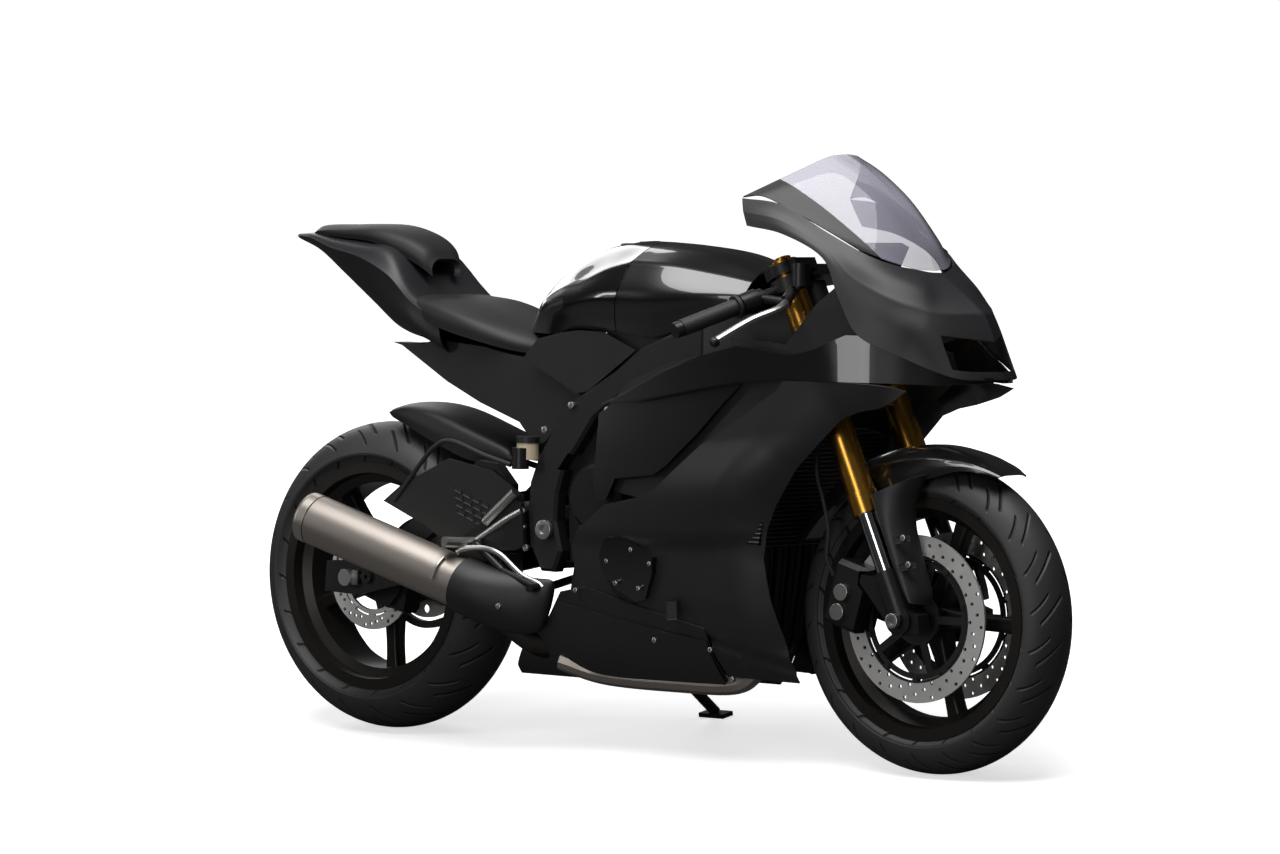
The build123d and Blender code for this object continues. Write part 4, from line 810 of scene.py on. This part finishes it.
class OBJECT_OT_motorcycle_seats(bpy.types.Operator):
    """Add the rider's seat, the pillion pad and the tail"""
    bl_idname = "object.motorcycle_seats"
    bl_label = "Seats and Tail"

    def execute(self, context):
        pads = [[(x, half * out, z - deep * down - below) for out, down, below in PAD_SHAPE]
                for x, z, half, deep in PAD_SECTIONS]
        for name, stations, node in (("rider_cushion", SEAT_STATIONS, "rider_seat"),
                                     ("pillion_cushion", pads, "pillion_pad")):
            cushion = loft(name, stations, steps=(6, 6), wall=CUSHION_WALL)
            place(cushion, "chassis", "seat_cover", [node])
        tail = loft("tail_shell", TAIL_STATIONS, corners=SHOULDER, steps=(6, 6))
        place(tail, "chassis", "satin_black_panel", ["tail_cowl"])
        return {"FINISHED"}


# ------------------------------------------------------------------ nose and screen
COWL_STATIONS = [  # rear tip to centre line; each from the screen's edge over the crease to the lower edge
    [(340, -174, 1095), (344, -178, 1082), (349, -182, 1068), (355, -184, 1055), (361, -186, 1042)],
    [(430, -166, 1083), (434, -172, 1068), (440, -180, 1052), (446, -184, 1038), (450, -186, 1026)],
    [(530, -152, 1031), (534, -163, 1014), (538, -172, 1002), (540, -178, 992), (540, -181, 982)],
    [(606, -136, 992), (606, -156, 970), (600, -170, 948), (592, -178, 928), (580, -184, 908)],
    [(645, -98, 972), (664, -126, 944), (672, -148, 910), (658, -168, 872), (626, -182, 838)],
    [(668, -54, 963), (704, -88, 930), (720, -116, 892), (718, -140, 848), (704, -151, 799)],
    [(680, -26, 958), (722, -50, 921), (750, -80, 882), (760, -99, 840), (796, -100, 760)],
    [(684, 0, 957), (745, 0, 916), (790, 0, 882), (814, 0, 828), (838, 0, 757)],
]
SCREEN_STATIONS = [  # base to top; each from the middle to the side
    [(672, 0, 961), (664, -50, 964), (640, -95, 977), (602, -138, 997)],
    [(648, 0, 1012), (636, -54, 1016), (596, -106, 1026), (528, -152, 1036)],
    [(590, 0, 1086), (578, -56, 1088), (530, -112, 1082), (448, -162, 1074)],
    [(520, 0, 1146), (508, -56, 1144), (462, -112, 1126), (384, -168, 1100)],
    [(462, 0, 1182), (452, -50, 1176), (418, -98, 1150), (340, -172, 1098)],
]
INTAKE = (0.75, 0.95, 6 / 7)       # share along a station: from, to; and share across the stations: from
BORDER_FROM = 0.79                 # share from the screen's middle to its side where the dark border starts
SCREEN_WALL = 2.5


class OBJECT_OT_motorcycle_nose(bpy.types.Operator):
    """Add the upper cowl and the clear screen with its dark border"""
    bl_idname = "object.motorcycle_nose"
    bl_label = "Nose and Screen"

    def execute(self, context):
        start, end, front = INTAKE
        cowl = loft("nose_cowl", COWL_STATIONS, corners=SHOULDER, steps=(10, 12),
                    hole=lambda along, across: start < along < end and across > front)
        place(cowl, "chassis", "satin_black_panel", ["upper_cowl"])
        screen = loft("clear_windscreen", SCREEN_STATIONS, steps=(8, 8), wall=SCREEN_WALL,
                      hole=lambda along, across: along > BORDER_FROM)
        place(screen, "chassis", "clear_screen", ["windscreen"])
        border = loft("screen_border", SCREEN_STATIONS, steps=(8, 8),
                      hole=lambda along, across: along < BORDER_FROM)
        place(border, "chassis", "black_plastic")
        return {"FINISHED"}


# ------------------------------------------------------------------ flanks
FLANK_SECTIONS = [  # height, then (x, half width) at the rear, middle and front
    (140, (-320, 70), (60, 84), (520, 70)),
    (210, (-320, 122), (60, 142), (520, 118)),
    (320, (-320, 150), (100, 178), (520, 172)),
    (450, (-320, 160), (150, 199), (560, 192)),
    (600, (-320, 160), (220, 206), (700, 194)),
    (745, (-320, 150), (340, 206), (860, 160)),
    (935, (-320, 140), (340, 214), (860, 172)),
]
CREASE = [(-60, 440), (60, 447), (214, 449), (324, 456), (420, 470)]   # (x, z) along its lip
BULGE_HEIGHT, BULGE = 170, 20          # the swelling above the crease, in mm
BULGE_END, BULGE_FADE = 560, 150       # the x where it ends, and the length over which it fades
LEADING_EDGE = [
    (425, 240), (398, 327), (392, 403), (405, 461), (429, 510), (476, 579), (577, 677), (663, 701)]
ROLL, ROLL_WIDTH = 34, 105             # how far and from where the leading edge turns inwards
CREASE_DEPTHS = (-60, 4, 380, 24)      # how deep the step under the lip is: from x, depth, to x, depth
CREASE_FALL, CREASE_RETURN = 34, 160   # height of the step, and of the slope that follows it, in mm
STEP_KEPT = 0.25                       # how much of the step is left after that slope
GROOVE = [(-70, 322), (60, 296), (262, 236)]
GROOVE_HALF, GROOVE_DEPTH = 12, 6
SIDE_FAIRING = [
    (706, 717), (736, 735), (701, 742), (607, 748), (465, 748), (453, 731), (405, 701), (369, 675),
    (273, 620), (224, 579), (188, 549), (163, 529), (126, 514), (26, 494), (-49, 442), (-68, 412),
    (-68, 386), (-60, 346), (13, 309), (114, 277), (250, 246), (262, 166), (425, 162), (412, 253),
    (398, 327), (392, 403), (405, 461), (429, 510), (476, 579), (577, 677), (616, 692), (663, 701)]


def clamp(value):
    """The value, kept between nought and one."""
    return min(max(value, 0), 1)


def half_width(x, z):
    """The flank's half width at a place in side view."""
    widths = []
    for _, (x0, y0), (x1, y1), (x2, y2) in FLANK_SECTIONS:
        widths.append(y0 * (x - x1) * (x - x2) / ((x0 - x1) * (x0 - x2))
                      + y1 * (x - x0) * (x - x2) / ((x1 - x0) * (x1 - x2))
                      + y2 * (x - x0) * (x - x1) / ((x2 - x0) * (x2 - x1)))
    heights = [row[0] for row in FLANK_SECTIONS]
    for k in range(len(heights) - 1):
        if z <= heights[k + 1] or k == len(heights) - 2:
            share = (k + (z - heights[k]) / (heights[k + 1] - heights[k])) / (len(heights) - 1)
            return hermite(widths, (), share)
    return widths[-1]


def line_height(line, x):
    """The height of a broken line in side view at x."""
    for (x0, z0), (x1, z1) in zip(line, line[1:]):
        if x <= x1 or (x1, z1) == line[-1]:
            return z0 + (z1 - z0) * (x - x0) / (x1 - x0)
    return line[-1][1]


def line_distance(line, x, z):
    """How far a place in side view is from a broken line."""
    nearest = []
    for (x0, z0), (x1, z1) in zip(line, line[1:]):
        run, rise = x1 - x0, z1 - z0
        share = clamp(((x - x0) * run + (z - z0) * rise) / (run * run + rise * rise))
        nearest.append(math.hypot(x - x0 - share * run, z - z0 - share * rise))
    return min(nearest)


def flank(x, z):
    """The side fairing's surface: a swelling over a stepped crease, a turned front edge and a low groove."""
    from_x, shallow, to_x, deep = CREASE_DEPTHS
    depth = shallow + (deep - shallow) * clamp((x - from_x) / (to_x - from_x))
    below = line_height(CREASE, x) - z
    fall = clamp(below / CREASE_FALL)
    rise = clamp((below - CREASE_FALL) / CREASE_RETURN)
    sunk = depth * fall * fall * (3 - 2 * fall) * (1 - (1 - STEP_KEPT) * rise)
    above = clamp(-below / BULGE_HEIGHT)
    share = clamp((x - from_x) / (to_x - from_x)) * clamp((BULGE_END - x) / BULGE_FADE)
    sunk -= BULGE * share * math.sin(math.pi * above) * math.sin(math.pi * above / 2 + math.pi / 4)
    near = 1 - min(line_distance(LEADING_EDGE, x, z) / ROLL_WIDTH, 1)
    sunk = sunk * (1 - near) + ROLL * near * near
    away = abs(line_height(GROOVE, x) - z) / GROOVE_HALF
    if away < 1:
        sunk += GROOVE_DEPTH * (1 - away * away)
    return sunk - half_width(x, z)


def under_flank(inset):
    """A surface that follows the flank, inset by some mm."""
    return lambda x, z: inset - half_width(x, z)


def blade_surface(x, z):
    """The gloss panels' surface: the flank, closing to a point under the nose."""
    y = BLADE_INSET - half_width(x, z)
    return max(y, -line_height(PROW, x)) if x > PROW[0][0] else y


UPPER_BLADE = [
    (11, 690), (70, 712), (169, 757), (260, 790), (356, 812), (408, 808), (480, 797), (534, 809),
    (600, 838), (640, 838), (704, 803), (794, 764), (832, 760), (832, 750), (760, 746), (668, 748),
    (449, 750), (353, 742), (255, 726), (107, 699)]
BLADE_INSET = 1
PROW = [  # x, half width of the gloss panels as they close under the nose
    (450, 213), (520, 206), (580, 193), (640, 173), (702, 143), (760, 110), (800, 82), (836, 20)]
GLOSS_SIDE = [
    (-6, 672), (40, 690), (100, 697), (255, 724), (353, 738), (300, 690), (249, 640), (170, 575),
    (139, 556), (39, 545), (14, 500), (-14, 500), (-20, 545), (-12, 600)]
INNER_SKIN = [
    (20, 520), (-20, 660), (60, 735), (170, 775), (324, 806), (480, 788), (560, 806), (600, 800),
    (620, 752), (560, 705), (450, 690), (360, 640), (230, 545), (120, 505)]
COCKPIT_SIDE = [
    (323, 829), (450, 816), (521, 893), (576, 934), (642, 838), (534, 803), (480, 791), (408, 802),
    (323, 813)]
BELLY_SIDE = [
    (-110, 316), (-40, 330), (81, 300), (247, 262), (256, 166), (256, 154), (-60, 166), (-90, 152),
    (-283, 150), (-278, 158), (-224, 213), (-160, 252)]
ENGINE_SHROUD = [
    (-165, 600), (-70, 720), (-30, 850), (120, 875), (205, 868), (262, 820), (400, 690), (345, 480),
    (150, 480), (-20, 410), (-125, 370), (-130, 500)]
CRANK_COVER = [
    (28, 431), (65, 433), (128, 410), (146, 396), (141, 362), (117, 312), (92, 306), (47, 328),
    (11, 366), (8, 398)]
SHROUD_Y = 117
FLANK_PANELS = [  # name, outline, surface, finish, CAD nodes it stands for, other settings
    ("side_fairings", SIDE_FAIRING, flank, "satin_black_panel", ["side_fairing_right", "side_fairing_left"],
     {"cell": 8}),
    ("gloss_blades", UPPER_BLADE, blade_surface, "gloss_black_panel", ["upper_panels"], {"wall": 4}),
    ("gloss_side_panels", GLOSS_SIDE, under_flank(17), "gloss_black_panel", [], {"cell": 16}),
    ("inner_panels", INNER_SKIN, under_flank(30), "black_plastic", [], {"cell": 24, "wall": 2}),
    ("engine_shrouds", ENGINE_SHROUD, lambda x, z: -SHROUD_Y, "black_plastic", [], {"cell": 60, "wall": 2}),
    ("cockpit_sides", COCKPIT_SIDE, under_flank(30), "satin_black_panel", ["cockpit_panels"], {"cell": 16}),
    ("belly_sides", BELLY_SIDE, under_flank(3), "satin_black_panel", [], {"mirror": False}),
]
COVER_INSET, COVER_WALL, COVER_CELL = -3, 16, 20
SCOOP, SCOOP_SIZE, SCOOP_SLANT = (186, -181, 296), (26, 5, 38), 4
COLLECTOR = [(300, -60, 176), (258, -72, 150), (120, -74, 146), (-60, -76, 150), (-150, -110, 176)]
COLLECTOR_RADIUS = 21


class OBJECT_OT_motorcycle_flanks(bpy.types.Operator):
    """Add the panels on both flanks, the scoops, the exhaust's collector and the crankcase covers"""
    bl_idname = "object.motorcycle_flanks"
    bl_label = "Side Fairings"

    def execute(self, context):
        for name, outline, surface, look, nodes, others in FLANK_PANELS:
            place(draped(name, outline, surface, **others), "chassis", look, nodes)
        scoop = both(slot_piece("scoop", SCOOP, SCOOP_SIZE, SCOOP_SLANT))
        place(scoop, "chassis", "grip_rubber")
        place(tube("exhaust_collector", COLLECTOR, COLLECTOR_RADIUS), "chassis", "titanium")
        cover = draped("crankcase_covers", CRANK_COVER, under_flank(COVER_INSET), wall=COVER_WALL,
                       cell=COVER_CELL)
        place(cover, "chassis", "gloss_black_panel")
        return {"FINISHED"}


# ------------------------------------------------------------------ silencer
CAN_REAR, CAN_FRONT = Vector((-738, -216, 440)), Vector((-318, -190, 313))
CAN_SECTION = [  # (up, out) from the can's axis, from the inner side over the top and back
    (0, -44), (38, -36), (52, -10), (50, 18), (26, 44), (-8, 50), (-38, 36), (-50, 8), (-42, -24), (0, -44)]
CAN_STEPS = [  # the end cap's: distance along the can, size of the section
    (0, 0.50), (1, 0.66), (3, 0.92), (8, 0.99), (30, 1.0)]
SHIELD_STATIONS = [  # centre (x, y, z), half height, half width
    ((-338, -191, 319), 55, 53), ((-300, -188, 306), 56, 52), ((-245, -178, 290), 58, 42),
    ((-190, -168, 282), 58, 30), ((-150, -160, 284), 52, 16), ((-140, -158, 286), 20, 5)]
CAN_BODY = [  # distance along the can as a share of its length, then mm more; size of the section
    (0, 31, 0.97), (0, 33, 0.985), (0.5, 0, 0.985), (1, 6, 0.985)]
SHIELD_SCALE = (51, 50)            # the section's own half height and half width
STRAP = [(46, 30), (28, 46), (2, 53)]          # (up, out) from the can's axis
STRAP_PLACE, STRAP_RADIUS = 62, 3.2            # distance behind the can's front, and half thickness


def along_can():
    """The can's directions: forwards along it, up across it and outwards."""
    ahead = (CAN_FRONT - CAN_REAR).normalized()
    out = Vector((0, -1, 0))
    up = out.cross(ahead).normalized()
    if up.z < 0:
        up = -up
    return ahead, up, (out - ahead * out.dot(ahead)).normalized()


def can_station(distance, size):
    """The can's section at a distance from its rear end."""
    ahead, up, out = along_can()
    centre = CAN_REAR + ahead * distance
    return [tuple(centre + up * v * size + out * w * size) for v, w in CAN_SECTION]


def shield_station(centre, tall, wide):
    """The shield's section round a centre, from the can's."""
    _, up, out = along_can()
    own_tall, own_wide = SHIELD_SCALE
    return [tuple(Vector(centre) + up * v * tall / own_tall + out * w * wide / own_wide)
            for v, w in CAN_SECTION]


def closed_loft(name, stations, station_corners=()):
    """A closed body through ring stations, welded along its seam."""
    body = loft(name, stations, station_corners=station_corners, steps=(4, 4), mirror=False, wall=0)
    with editing(body):
        bpy.ops.mesh.select_all(action="SELECT")
        bpy.ops.mesh.remove_doubles(threshold=SEAM_WELD)
        bpy.ops.mesh.select_all(action="DESELECT")
        bpy.ops.mesh.select_mode(type="VERT")
        bpy.ops.mesh.select_non_manifold()
        bpy.ops.mesh.edge_face_add()
        bpy.ops.mesh.select_all(action="SELECT")
        bpy.ops.mesh.normals_make_consistent(inside=False)
    return body


class OBJECT_OT_motorcycle_silencer(bpy.types.Operator):
    """Add the silencer, its end cap, shield and strap"""
    bl_idname = "object.motorcycle_silencer"
    bl_label = "Silencer"

    def execute(self, context):
        length = (CAN_FRONT - CAN_REAR).length
        body = [can_station(length * share + more, size) for share, more, size in CAN_BODY]
        place(closed_loft("silencer_can", body, (1, 2)), "chassis", "titanium", ["silencer"])
        cap = [can_station(distance, size) for distance, size in CAN_STEPS]
        place(closed_loft("silencer_end_cap", cap, (1, 2, 3)), "chassis", "titanium_cap")
        shield = [shield_station(*station) for station in SHIELD_STATIONS]
        place(closed_loft("silencer_shield", shield), "chassis", "black_plastic", ["silencer_cover"])
        ahead, up, out = along_can()
        top = CAN_REAR + ahead * (length - STRAP_PLACE)
        strap = tube("silencer_strap", [top + up * v + out * w for v, w in STRAP], STRAP_RADIUS)
        place(strap, "chassis", "bare_aluminium")
        return {"FINISHED"}


# ------------------------------------------------------------------ front end
LOBE_ROWS = [  # rear edge (x, z), front edge (x, z) in side view, from the guard down to the axle
    ((618, 534), (742, 576)), ((630, 505), (722, 530)), ((648, 462), (719, 480)), ((672, 408), (738, 415)),
    ((696, 358), (758, 355)), ((712, 336), (756, 330))]
LOBE_SWEEP = 24                    # how far back the plates' front edge is drawn
LOBE_SECTION = [(0, -124), (0.12, -129), (0.4, -126), (0.75, -112), (0.95, -92), (1, -80)]  # (share, y)
LOBE_BOLTS = [(691, 454), (704, 404)]
SLOT_Y, SLOT_SIZE, SLOT_SLANT, SLOT_SHIFT = -127, (40, 5, 13), 14, 6      # the slots round the plates' bolts
LOBE_BOLT_Y, LOBE_BOLT_SHIFT = -130, (10, 3)
LOBE_BOLT_RADIUS, LOBE_BOLT_DEPTH = 6, 6
CALIPER_CAPS, CAP_Y = [(545, 346), (536, 308)], -115
CAP_RADIUS, CAP_DEPTH = 16, 8
BRAKE_HOSE = [(520, -70, 700), (492, -112, 640), (484, -116, 577), (500, -116, 520), (512, -114, 463),
              (508, -112, 410), (518, -104, 376)]
BRAKE_HOSE_RADIUS = 4
AXLE_NUT, AXLE_NUT_RADIUS, AXLE_NUT_DEPTH = (686, -140, 300), 14, 12
SIDES = (("right", 1), ("left", -1))
BEVEL_RISE, DISH = 0.7, 0.45       # a disc's bevel: its rise by its width; the dish: its depth by the disc's
BAR_RIM = 1.2                      # width of the rim round a slot piece's sunk face, and its depth


def disc_piece(name, centre, radius, depth, sides=32, bevel=0.8, axis=(0, -1, 0), hollow=0.0):
    """A turned disc about centre, its outer face bevelled, and dished if hollow (a share) is above nought."""
    deselect_all()
    bpy.ops.mesh.primitive_cylinder_add(vertices=sides, radius=radius * MM, depth=depth * MM)
    disc = new_object(name)
    select_faces(disc, lambda face: face.normal.z > FACING)
    with editing(disc):
        bpy.ops.mesh.inset(thickness=bevel * MM, depth=bevel * BEVEL_RISE * MM)
        if hollow:
            bpy.ops.mesh.inset(thickness=radius * (1 - hollow) * MM)
            bpy.ops.mesh.extrude_region_move(TRANSFORM_OT_translate={"value": (0, 0, -depth * DISH * MM)})
    turn = Vector(axis).to_track_quat("Z", "Y").to_matrix().to_4x4()
    disc.data.transform(Matrix.Translation(Vector(centre) * MM) @ turn)
    return disc


def slot_piece(name, centre, size, slant):
    """A bar lying along x, turned in side view by slant degrees, with its outer face sunk inside a rim."""
    deselect_all()
    bpy.ops.mesh.primitive_cube_add(size=MM)
    bar = new_object(name)
    bar.scale = size
    bpy.ops.object.transform_apply(location=False, rotation=False, scale=True)
    select_faces(bar, lambda face: face.normal.y < -FACING)
    with editing(bar):
        bpy.ops.mesh.inset(thickness=BAR_RIM * MM, depth=-BAR_RIM * MM)
    turn = Matrix.Rotation(math.radians(-slant), 4, "Y")
    bar.data.transform(Matrix.Translation(Vector(centre) * MM) @ turn)
    return bar


def bolt_head(spot, radius, depth):
    """A bolt's dished head."""
    return disc_piece("bolt", spot, radius, depth, sides=16, bevel=0.9, hollow=0.5)


class OBJECT_OT_motorcycle_front(bpy.types.Operator):
    """Add the plates ahead of the fork legs, the caliper caps, the axle nut and the brake hoses"""
    bl_idname = "object.motorcycle_front"
    bl_label = "Front End"

    def execute(self, context):
        rows = [[(x0 + (x1 - x0 - LOBE_SWEEP) * share, y, z0 + (z1 - z0) * share)
                 for share, y in LOBE_SECTION] for (x0, z0), (x1, z1) in LOBE_ROWS]
        lobes = loft("fork_plates", rows, outward=(0.6, -1, 0))
        place(lobes, "steering", "satin_black_panel")
        slots = [both(slot_piece("slot", (x + SLOT_SHIFT, SLOT_Y, z), SLOT_SIZE, SLOT_SLANT))
                 for x, z in LOBE_BOLTS]
        place(join(slots, "lobe_slots"), "steering", "grip_rubber")
        ahead, up = LOBE_BOLT_SHIFT
        bolts = [both(bolt_head((x + ahead, LOBE_BOLT_Y, z + up), LOBE_BOLT_RADIUS, LOBE_BOLT_DEPTH))
                 for x, z in LOBE_BOLTS]
        place(join(bolts, "lobe_bolts"), "steering", "bare_aluminium")
        caps = [both(disc_piece("cap", (x, CAP_Y, z), CAP_RADIUS, CAP_DEPTH)) for x, z in CALIPER_CAPS]
        place(join(caps, "caliper_caps"), "steering", "bare_aluminium")
        nut = disc_piece("axle_nut", AXLE_NUT, AXLE_NUT_RADIUS, AXLE_NUT_DEPTH, sides=24, hollow=0.7)
        place(nut, "steering", "bare_aluminium")
        for side, turn in SIDES:
            hose = tube("brake_hose_" + side, [(x, y * turn, z) for x, y, z in BRAKE_HOSE], BRAKE_HOSE_RADIUS)
            place(hose, "steering", "grip_rubber")
        return {"FINISHED"}


# ------------------------------------------------------------------ controls and rear fittings
LEVERS = (("brake_lever", 1), ("clutch_lever", -1))       # name, side
LEVER = [(452, -176, 897), (468, -222, 884), (447, -282, 862), (408, -338, 823)]
LEVER_RADIUS = 8.4
REAR_HOSE = [(-561, -146, 477), (-500, -148, 545), (-456, -148, 588), (-411, -148, 602), (-324, -148, 577),
             (-256, -146, 560)]
REAR_HOSE_RADIUS = 5
RESERVOIR = (-209, -150, 574)
RESERVOIR_PARTS = [  # name, finish, height of its middle over the foot, radius, depth, bevel
    ("reservoir_cup", "cream_plastic", 16, 22, 34, 2), ("reservoir_lid", "black_plastic", 38, 23.5, 12, 1.5)]
PIVOT_NUT, PIVOT_NUT_RADIUS, PIVOT_NUT_DEPTH = (-158, -158, 436), 19, 10
REARSET_BARS = [  # name, radius, route: footrest, pedal, master cylinder and link
    ("footrest", 11, [(-333, -160, 403), (-340, -200, 404), (-350, -238, 406)]),
    ("pedal", 6, [(-345, -206, 384), (-331, -196, 392), (-292, -180, 393), (-253, -178, 382),
                  (-200, -176, 345), (-162, -174, 331), (-149, -172, 322)]),
    ("master_cylinder", 10, [(-305, -164, 445), (-266, -164, 477), (-228, -164, 508)]),
    ("hanger", 7, [(-215, -160, 471), (-252, -163, 452), (-300, -163, 424), (-335, -163, 403)]),
]
ARM_COVER = [(-592, 475), (-549, 506), (-419, 567), (-306, 548), (-253, 517), (-222, 500), (-226, 470),
             (-262, 452), (-330, 420), (-420, 396), (-480, 430)]
ARM_COVER_Y, CHAIN_GUARD_Y = 147, 112
CHAIN_GUARD = [(-660, 452), (-380, 502), (-350, 490), (-380, 474), (-640, 436)]
ARM_CELL = 40
ARM_PANELS = [  # name, outline, y, thickness
    ("arm_cover", ARM_COVER, -ARM_COVER_Y, 6), ("chain_guard", CHAIN_GUARD, CHAIN_GUARD_Y, 14)]
VENT_SIZE = (20, 3, 9)
VENT_SLANT = -20
VENTS = [(-392 + 24 * column + 3 * row, 505 - 15 * row - 9 * column) for row in range(4)
         for column in range(4) if row + column < 6]       # (x, z) of each; the lowest front one is left out
HUGGER_STATIONS = [  # x, top, lower edge, half width
    (-668, 652, 648, 44), (-640, 664, 640, 64), (-593, 673, 626, 78), (-517, 665, 596, 85),
    (-420, 634, 562, 85), (-335, 600, 556, 78), (-316, 578, 560, 72)]
HUGGER_SECTION = [  # shares of the drop and half width
    (0, 0), (0.04, 0.5), (0.2, 0.88), (0.55, 1), (1, 0.98)]
BOLT_DEPTH = 7
BOLTS = [  # name, radius, on both sides, (x, y, z) of each head's middle
    ("fairing_bolts", 5, True, [(-60, -176, 322), (135, -170, 234), (264, -158, 222), (295, -128, 165)]),
    ("crankcase_bolts", 4.5, True, [
        (26, -186, 384), (51, -189, 342), (109, -189, 334), (138, -192, 384), (93, -194, 409)]),
    ("frame_bolts", 7, True, [(-95, -153, 684), (-163, -153, 633), (-3, -153, 677)]),
    ("rearset_bolts", 6.5, True, [
        (-246, -156, 461), (-287, -156, 434), (-215, -156, 471), (-214, -156, 439), (-206, -156, 398)]),
    ("shield_bolt", 6, False, [(-226, -214, 283)]),
]


class OBJECT_OT_motorcycle_fittings(bpy.types.Operator):
    """Add the levers, the rear hose and reservoir, the footrests, the guards, the vents and the bolts"""
    bl_idname = "object.motorcycle_fittings"
    bl_label = "Fittings"

    def execute(self, context):
        for name, turn in LEVERS:
            lever = tube(name, [(x, y * turn, z) for x, y, z in LEVER], LEVER_RADIUS)
            place(lever, "steering", "bare_aluminium")
        place(tube("rear_brake_hose", REAR_HOSE, REAR_HOSE_RADIUS), "chassis", "grip_rubber")
        x, y, z = RESERVOIR
        for name, look, rise, radius, depth, bevel in RESERVOIR_PARTS:
            part = disc_piece(name, (x, y, z + rise), radius, depth, bevel=bevel, axis=(0, 0, 1))
            place(part, "chassis", look)
        for name, radius, route in REARSET_BARS:
            place(both(tube(name, route, radius)), "chassis", "bare_aluminium")
        for name, outline, y, wall in ARM_PANELS:
            panel = draped(name, outline, lambda x, z: y, cell=ARM_CELL, wall=wall, mirror=False,
                           outward=(0, y, 0))
            place(panel, "chassis", "black_plastic")
        rows = [[(x, -half * out, top + (edge - top) * drop) for drop, out in HUGGER_SECTION]
                for x, top, edge, half in HUGGER_STATIONS]
        hugger = loft("rear_guard", rows, outward=(0, -0.3, 1))
        place(hugger, "chassis", "black_plastic", ["rear_hugger"])
        vents = [slot_piece("vent", (x, -ARM_COVER_Y, z), VENT_SIZE, VENT_SLANT) for x, z in VENTS]
        place(join(vents, "arm_cover_vents"), "chassis", "grip_rubber")
        nut = disc_piece("pivot_nut", PIVOT_NUT, PIVOT_NUT_RADIUS, PIVOT_NUT_DEPTH, hollow=0.55)
        place(nut, "chassis", "bare_aluminium")
        for name, radius, twice, places in BOLTS:
            heads = [bolt_head(spot, radius, BOLT_DEPTH) for spot in places]
            if twice:
                heads = [both(head) for head in heads]
            place(join(heads, name), "chassis", "bare_aluminium")
        return {"FINISHED"}


# ------------------------------------------------------------------ front guard
GUARD_STATIONS = [  # angle round the front axle, then the lower edge's radius and the edge's half width
    (58, 322, 46), (64, 314, 60), (72, 298, 70), (84, 268, 75), (94, 252, 76), (106, 256, 76),
    (122, 276, 75), (140, 290, 74), (155, 304, 70),
]
GUARD_RADIUS = 330
GUARD_SECTION = [  # shares of the drop and half width
    (0, 0), (0.05, 0.5), (0.36, 0.88), (0.68, 0.985), (1, 1)]


class OBJECT_OT_motorcycle_guard(bpy.types.Operator):
    """Add the front wheel's guard"""
    bl_idname = "object.motorcycle_guard"
    bl_label = "Front Guard"

    def execute(self, context):
        stations = []
        for angle, edge, half in GUARD_STATIONS:
            row, turn = [], math.radians(angle)
            for drop, out in GUARD_SECTION:
                radius = GUARD_RADIUS + (edge - GUARD_RADIUS) * drop
                row.append((FRONT_AXLE.x / MM + radius * math.cos(turn), -half * out,
                            FRONT_AXLE.z / MM + radius * math.sin(turn)))
            stations.append(row)
        guard = loft("front_guard", stations, corners=SHOULDER, steps=(5, 6))
        place(guard, "steering", "gloss_black_panel", ["front_fender"])
        return {"FINISHED"}


OPERATORS = (OBJECT_OT_motorcycle_frame_looks, OBJECT_OT_motorcycle_tyres, OBJECT_OT_motorcycle_tank,
             OBJECT_OT_motorcycle_seats, OBJECT_OT_motorcycle_nose, OBJECT_OT_motorcycle_flanks,
             OBJECT_OT_motorcycle_guard, OBJECT_OT_motorcycle_silencer, OBJECT_OT_motorcycle_front,
             OBJECT_OT_motorcycle_fittings, OBJECT_OT_motorcycle_stage)


class VIEW3D_PT_motorcycle(bpy.types.Panel):
    """The motorcycle's settings and pieces"""
    bl_label = "Sport Motorcycle"
    bl_idname = "VIEW3D_PT_motorcycle"
    bl_space_type = "VIEW_3D"
    bl_region_type = "UI"
    bl_category = "Motorcycle"

    def draw(self, context):
        for group in (context.scene.motorcycle_paint, context.scene.motorcycle_stage):
            for name in group.bl_rna.properties.keys():
                if name not in ("rna_type", "name"):
                    self.layout.prop(group, name)
        for operator in OPERATORS:
            self.layout.operator(operator.bl_idname)


CLASSES = (MotorcyclePaint, MotorcycleStage, *OPERATORS, VIEW3D_PT_motorcycle)


def register():
    for kind in CLASSES:
        bpy.utils.register_class(kind)
    bpy.types.Scene.motorcycle_paint = bpy.props.PointerProperty(type=MotorcyclePaint)
    bpy.types.Scene.motorcycle_stage = bpy.props.PointerProperty(type=MotorcycleStage)


def unregister():
    del bpy.types.Scene.motorcycle_stage
    del bpy.types.Scene.motorcycle_paint
    for kind in reversed(CLASSES):
        bpy.utils.unregister_class(kind)


def main():
    register()
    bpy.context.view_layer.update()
    for operator in OPERATORS:
        group, name = operator.bl_idname.split(".")
        getattr(getattr(bpy.ops, group), name)()


if __name__ == "__main__":
    main()
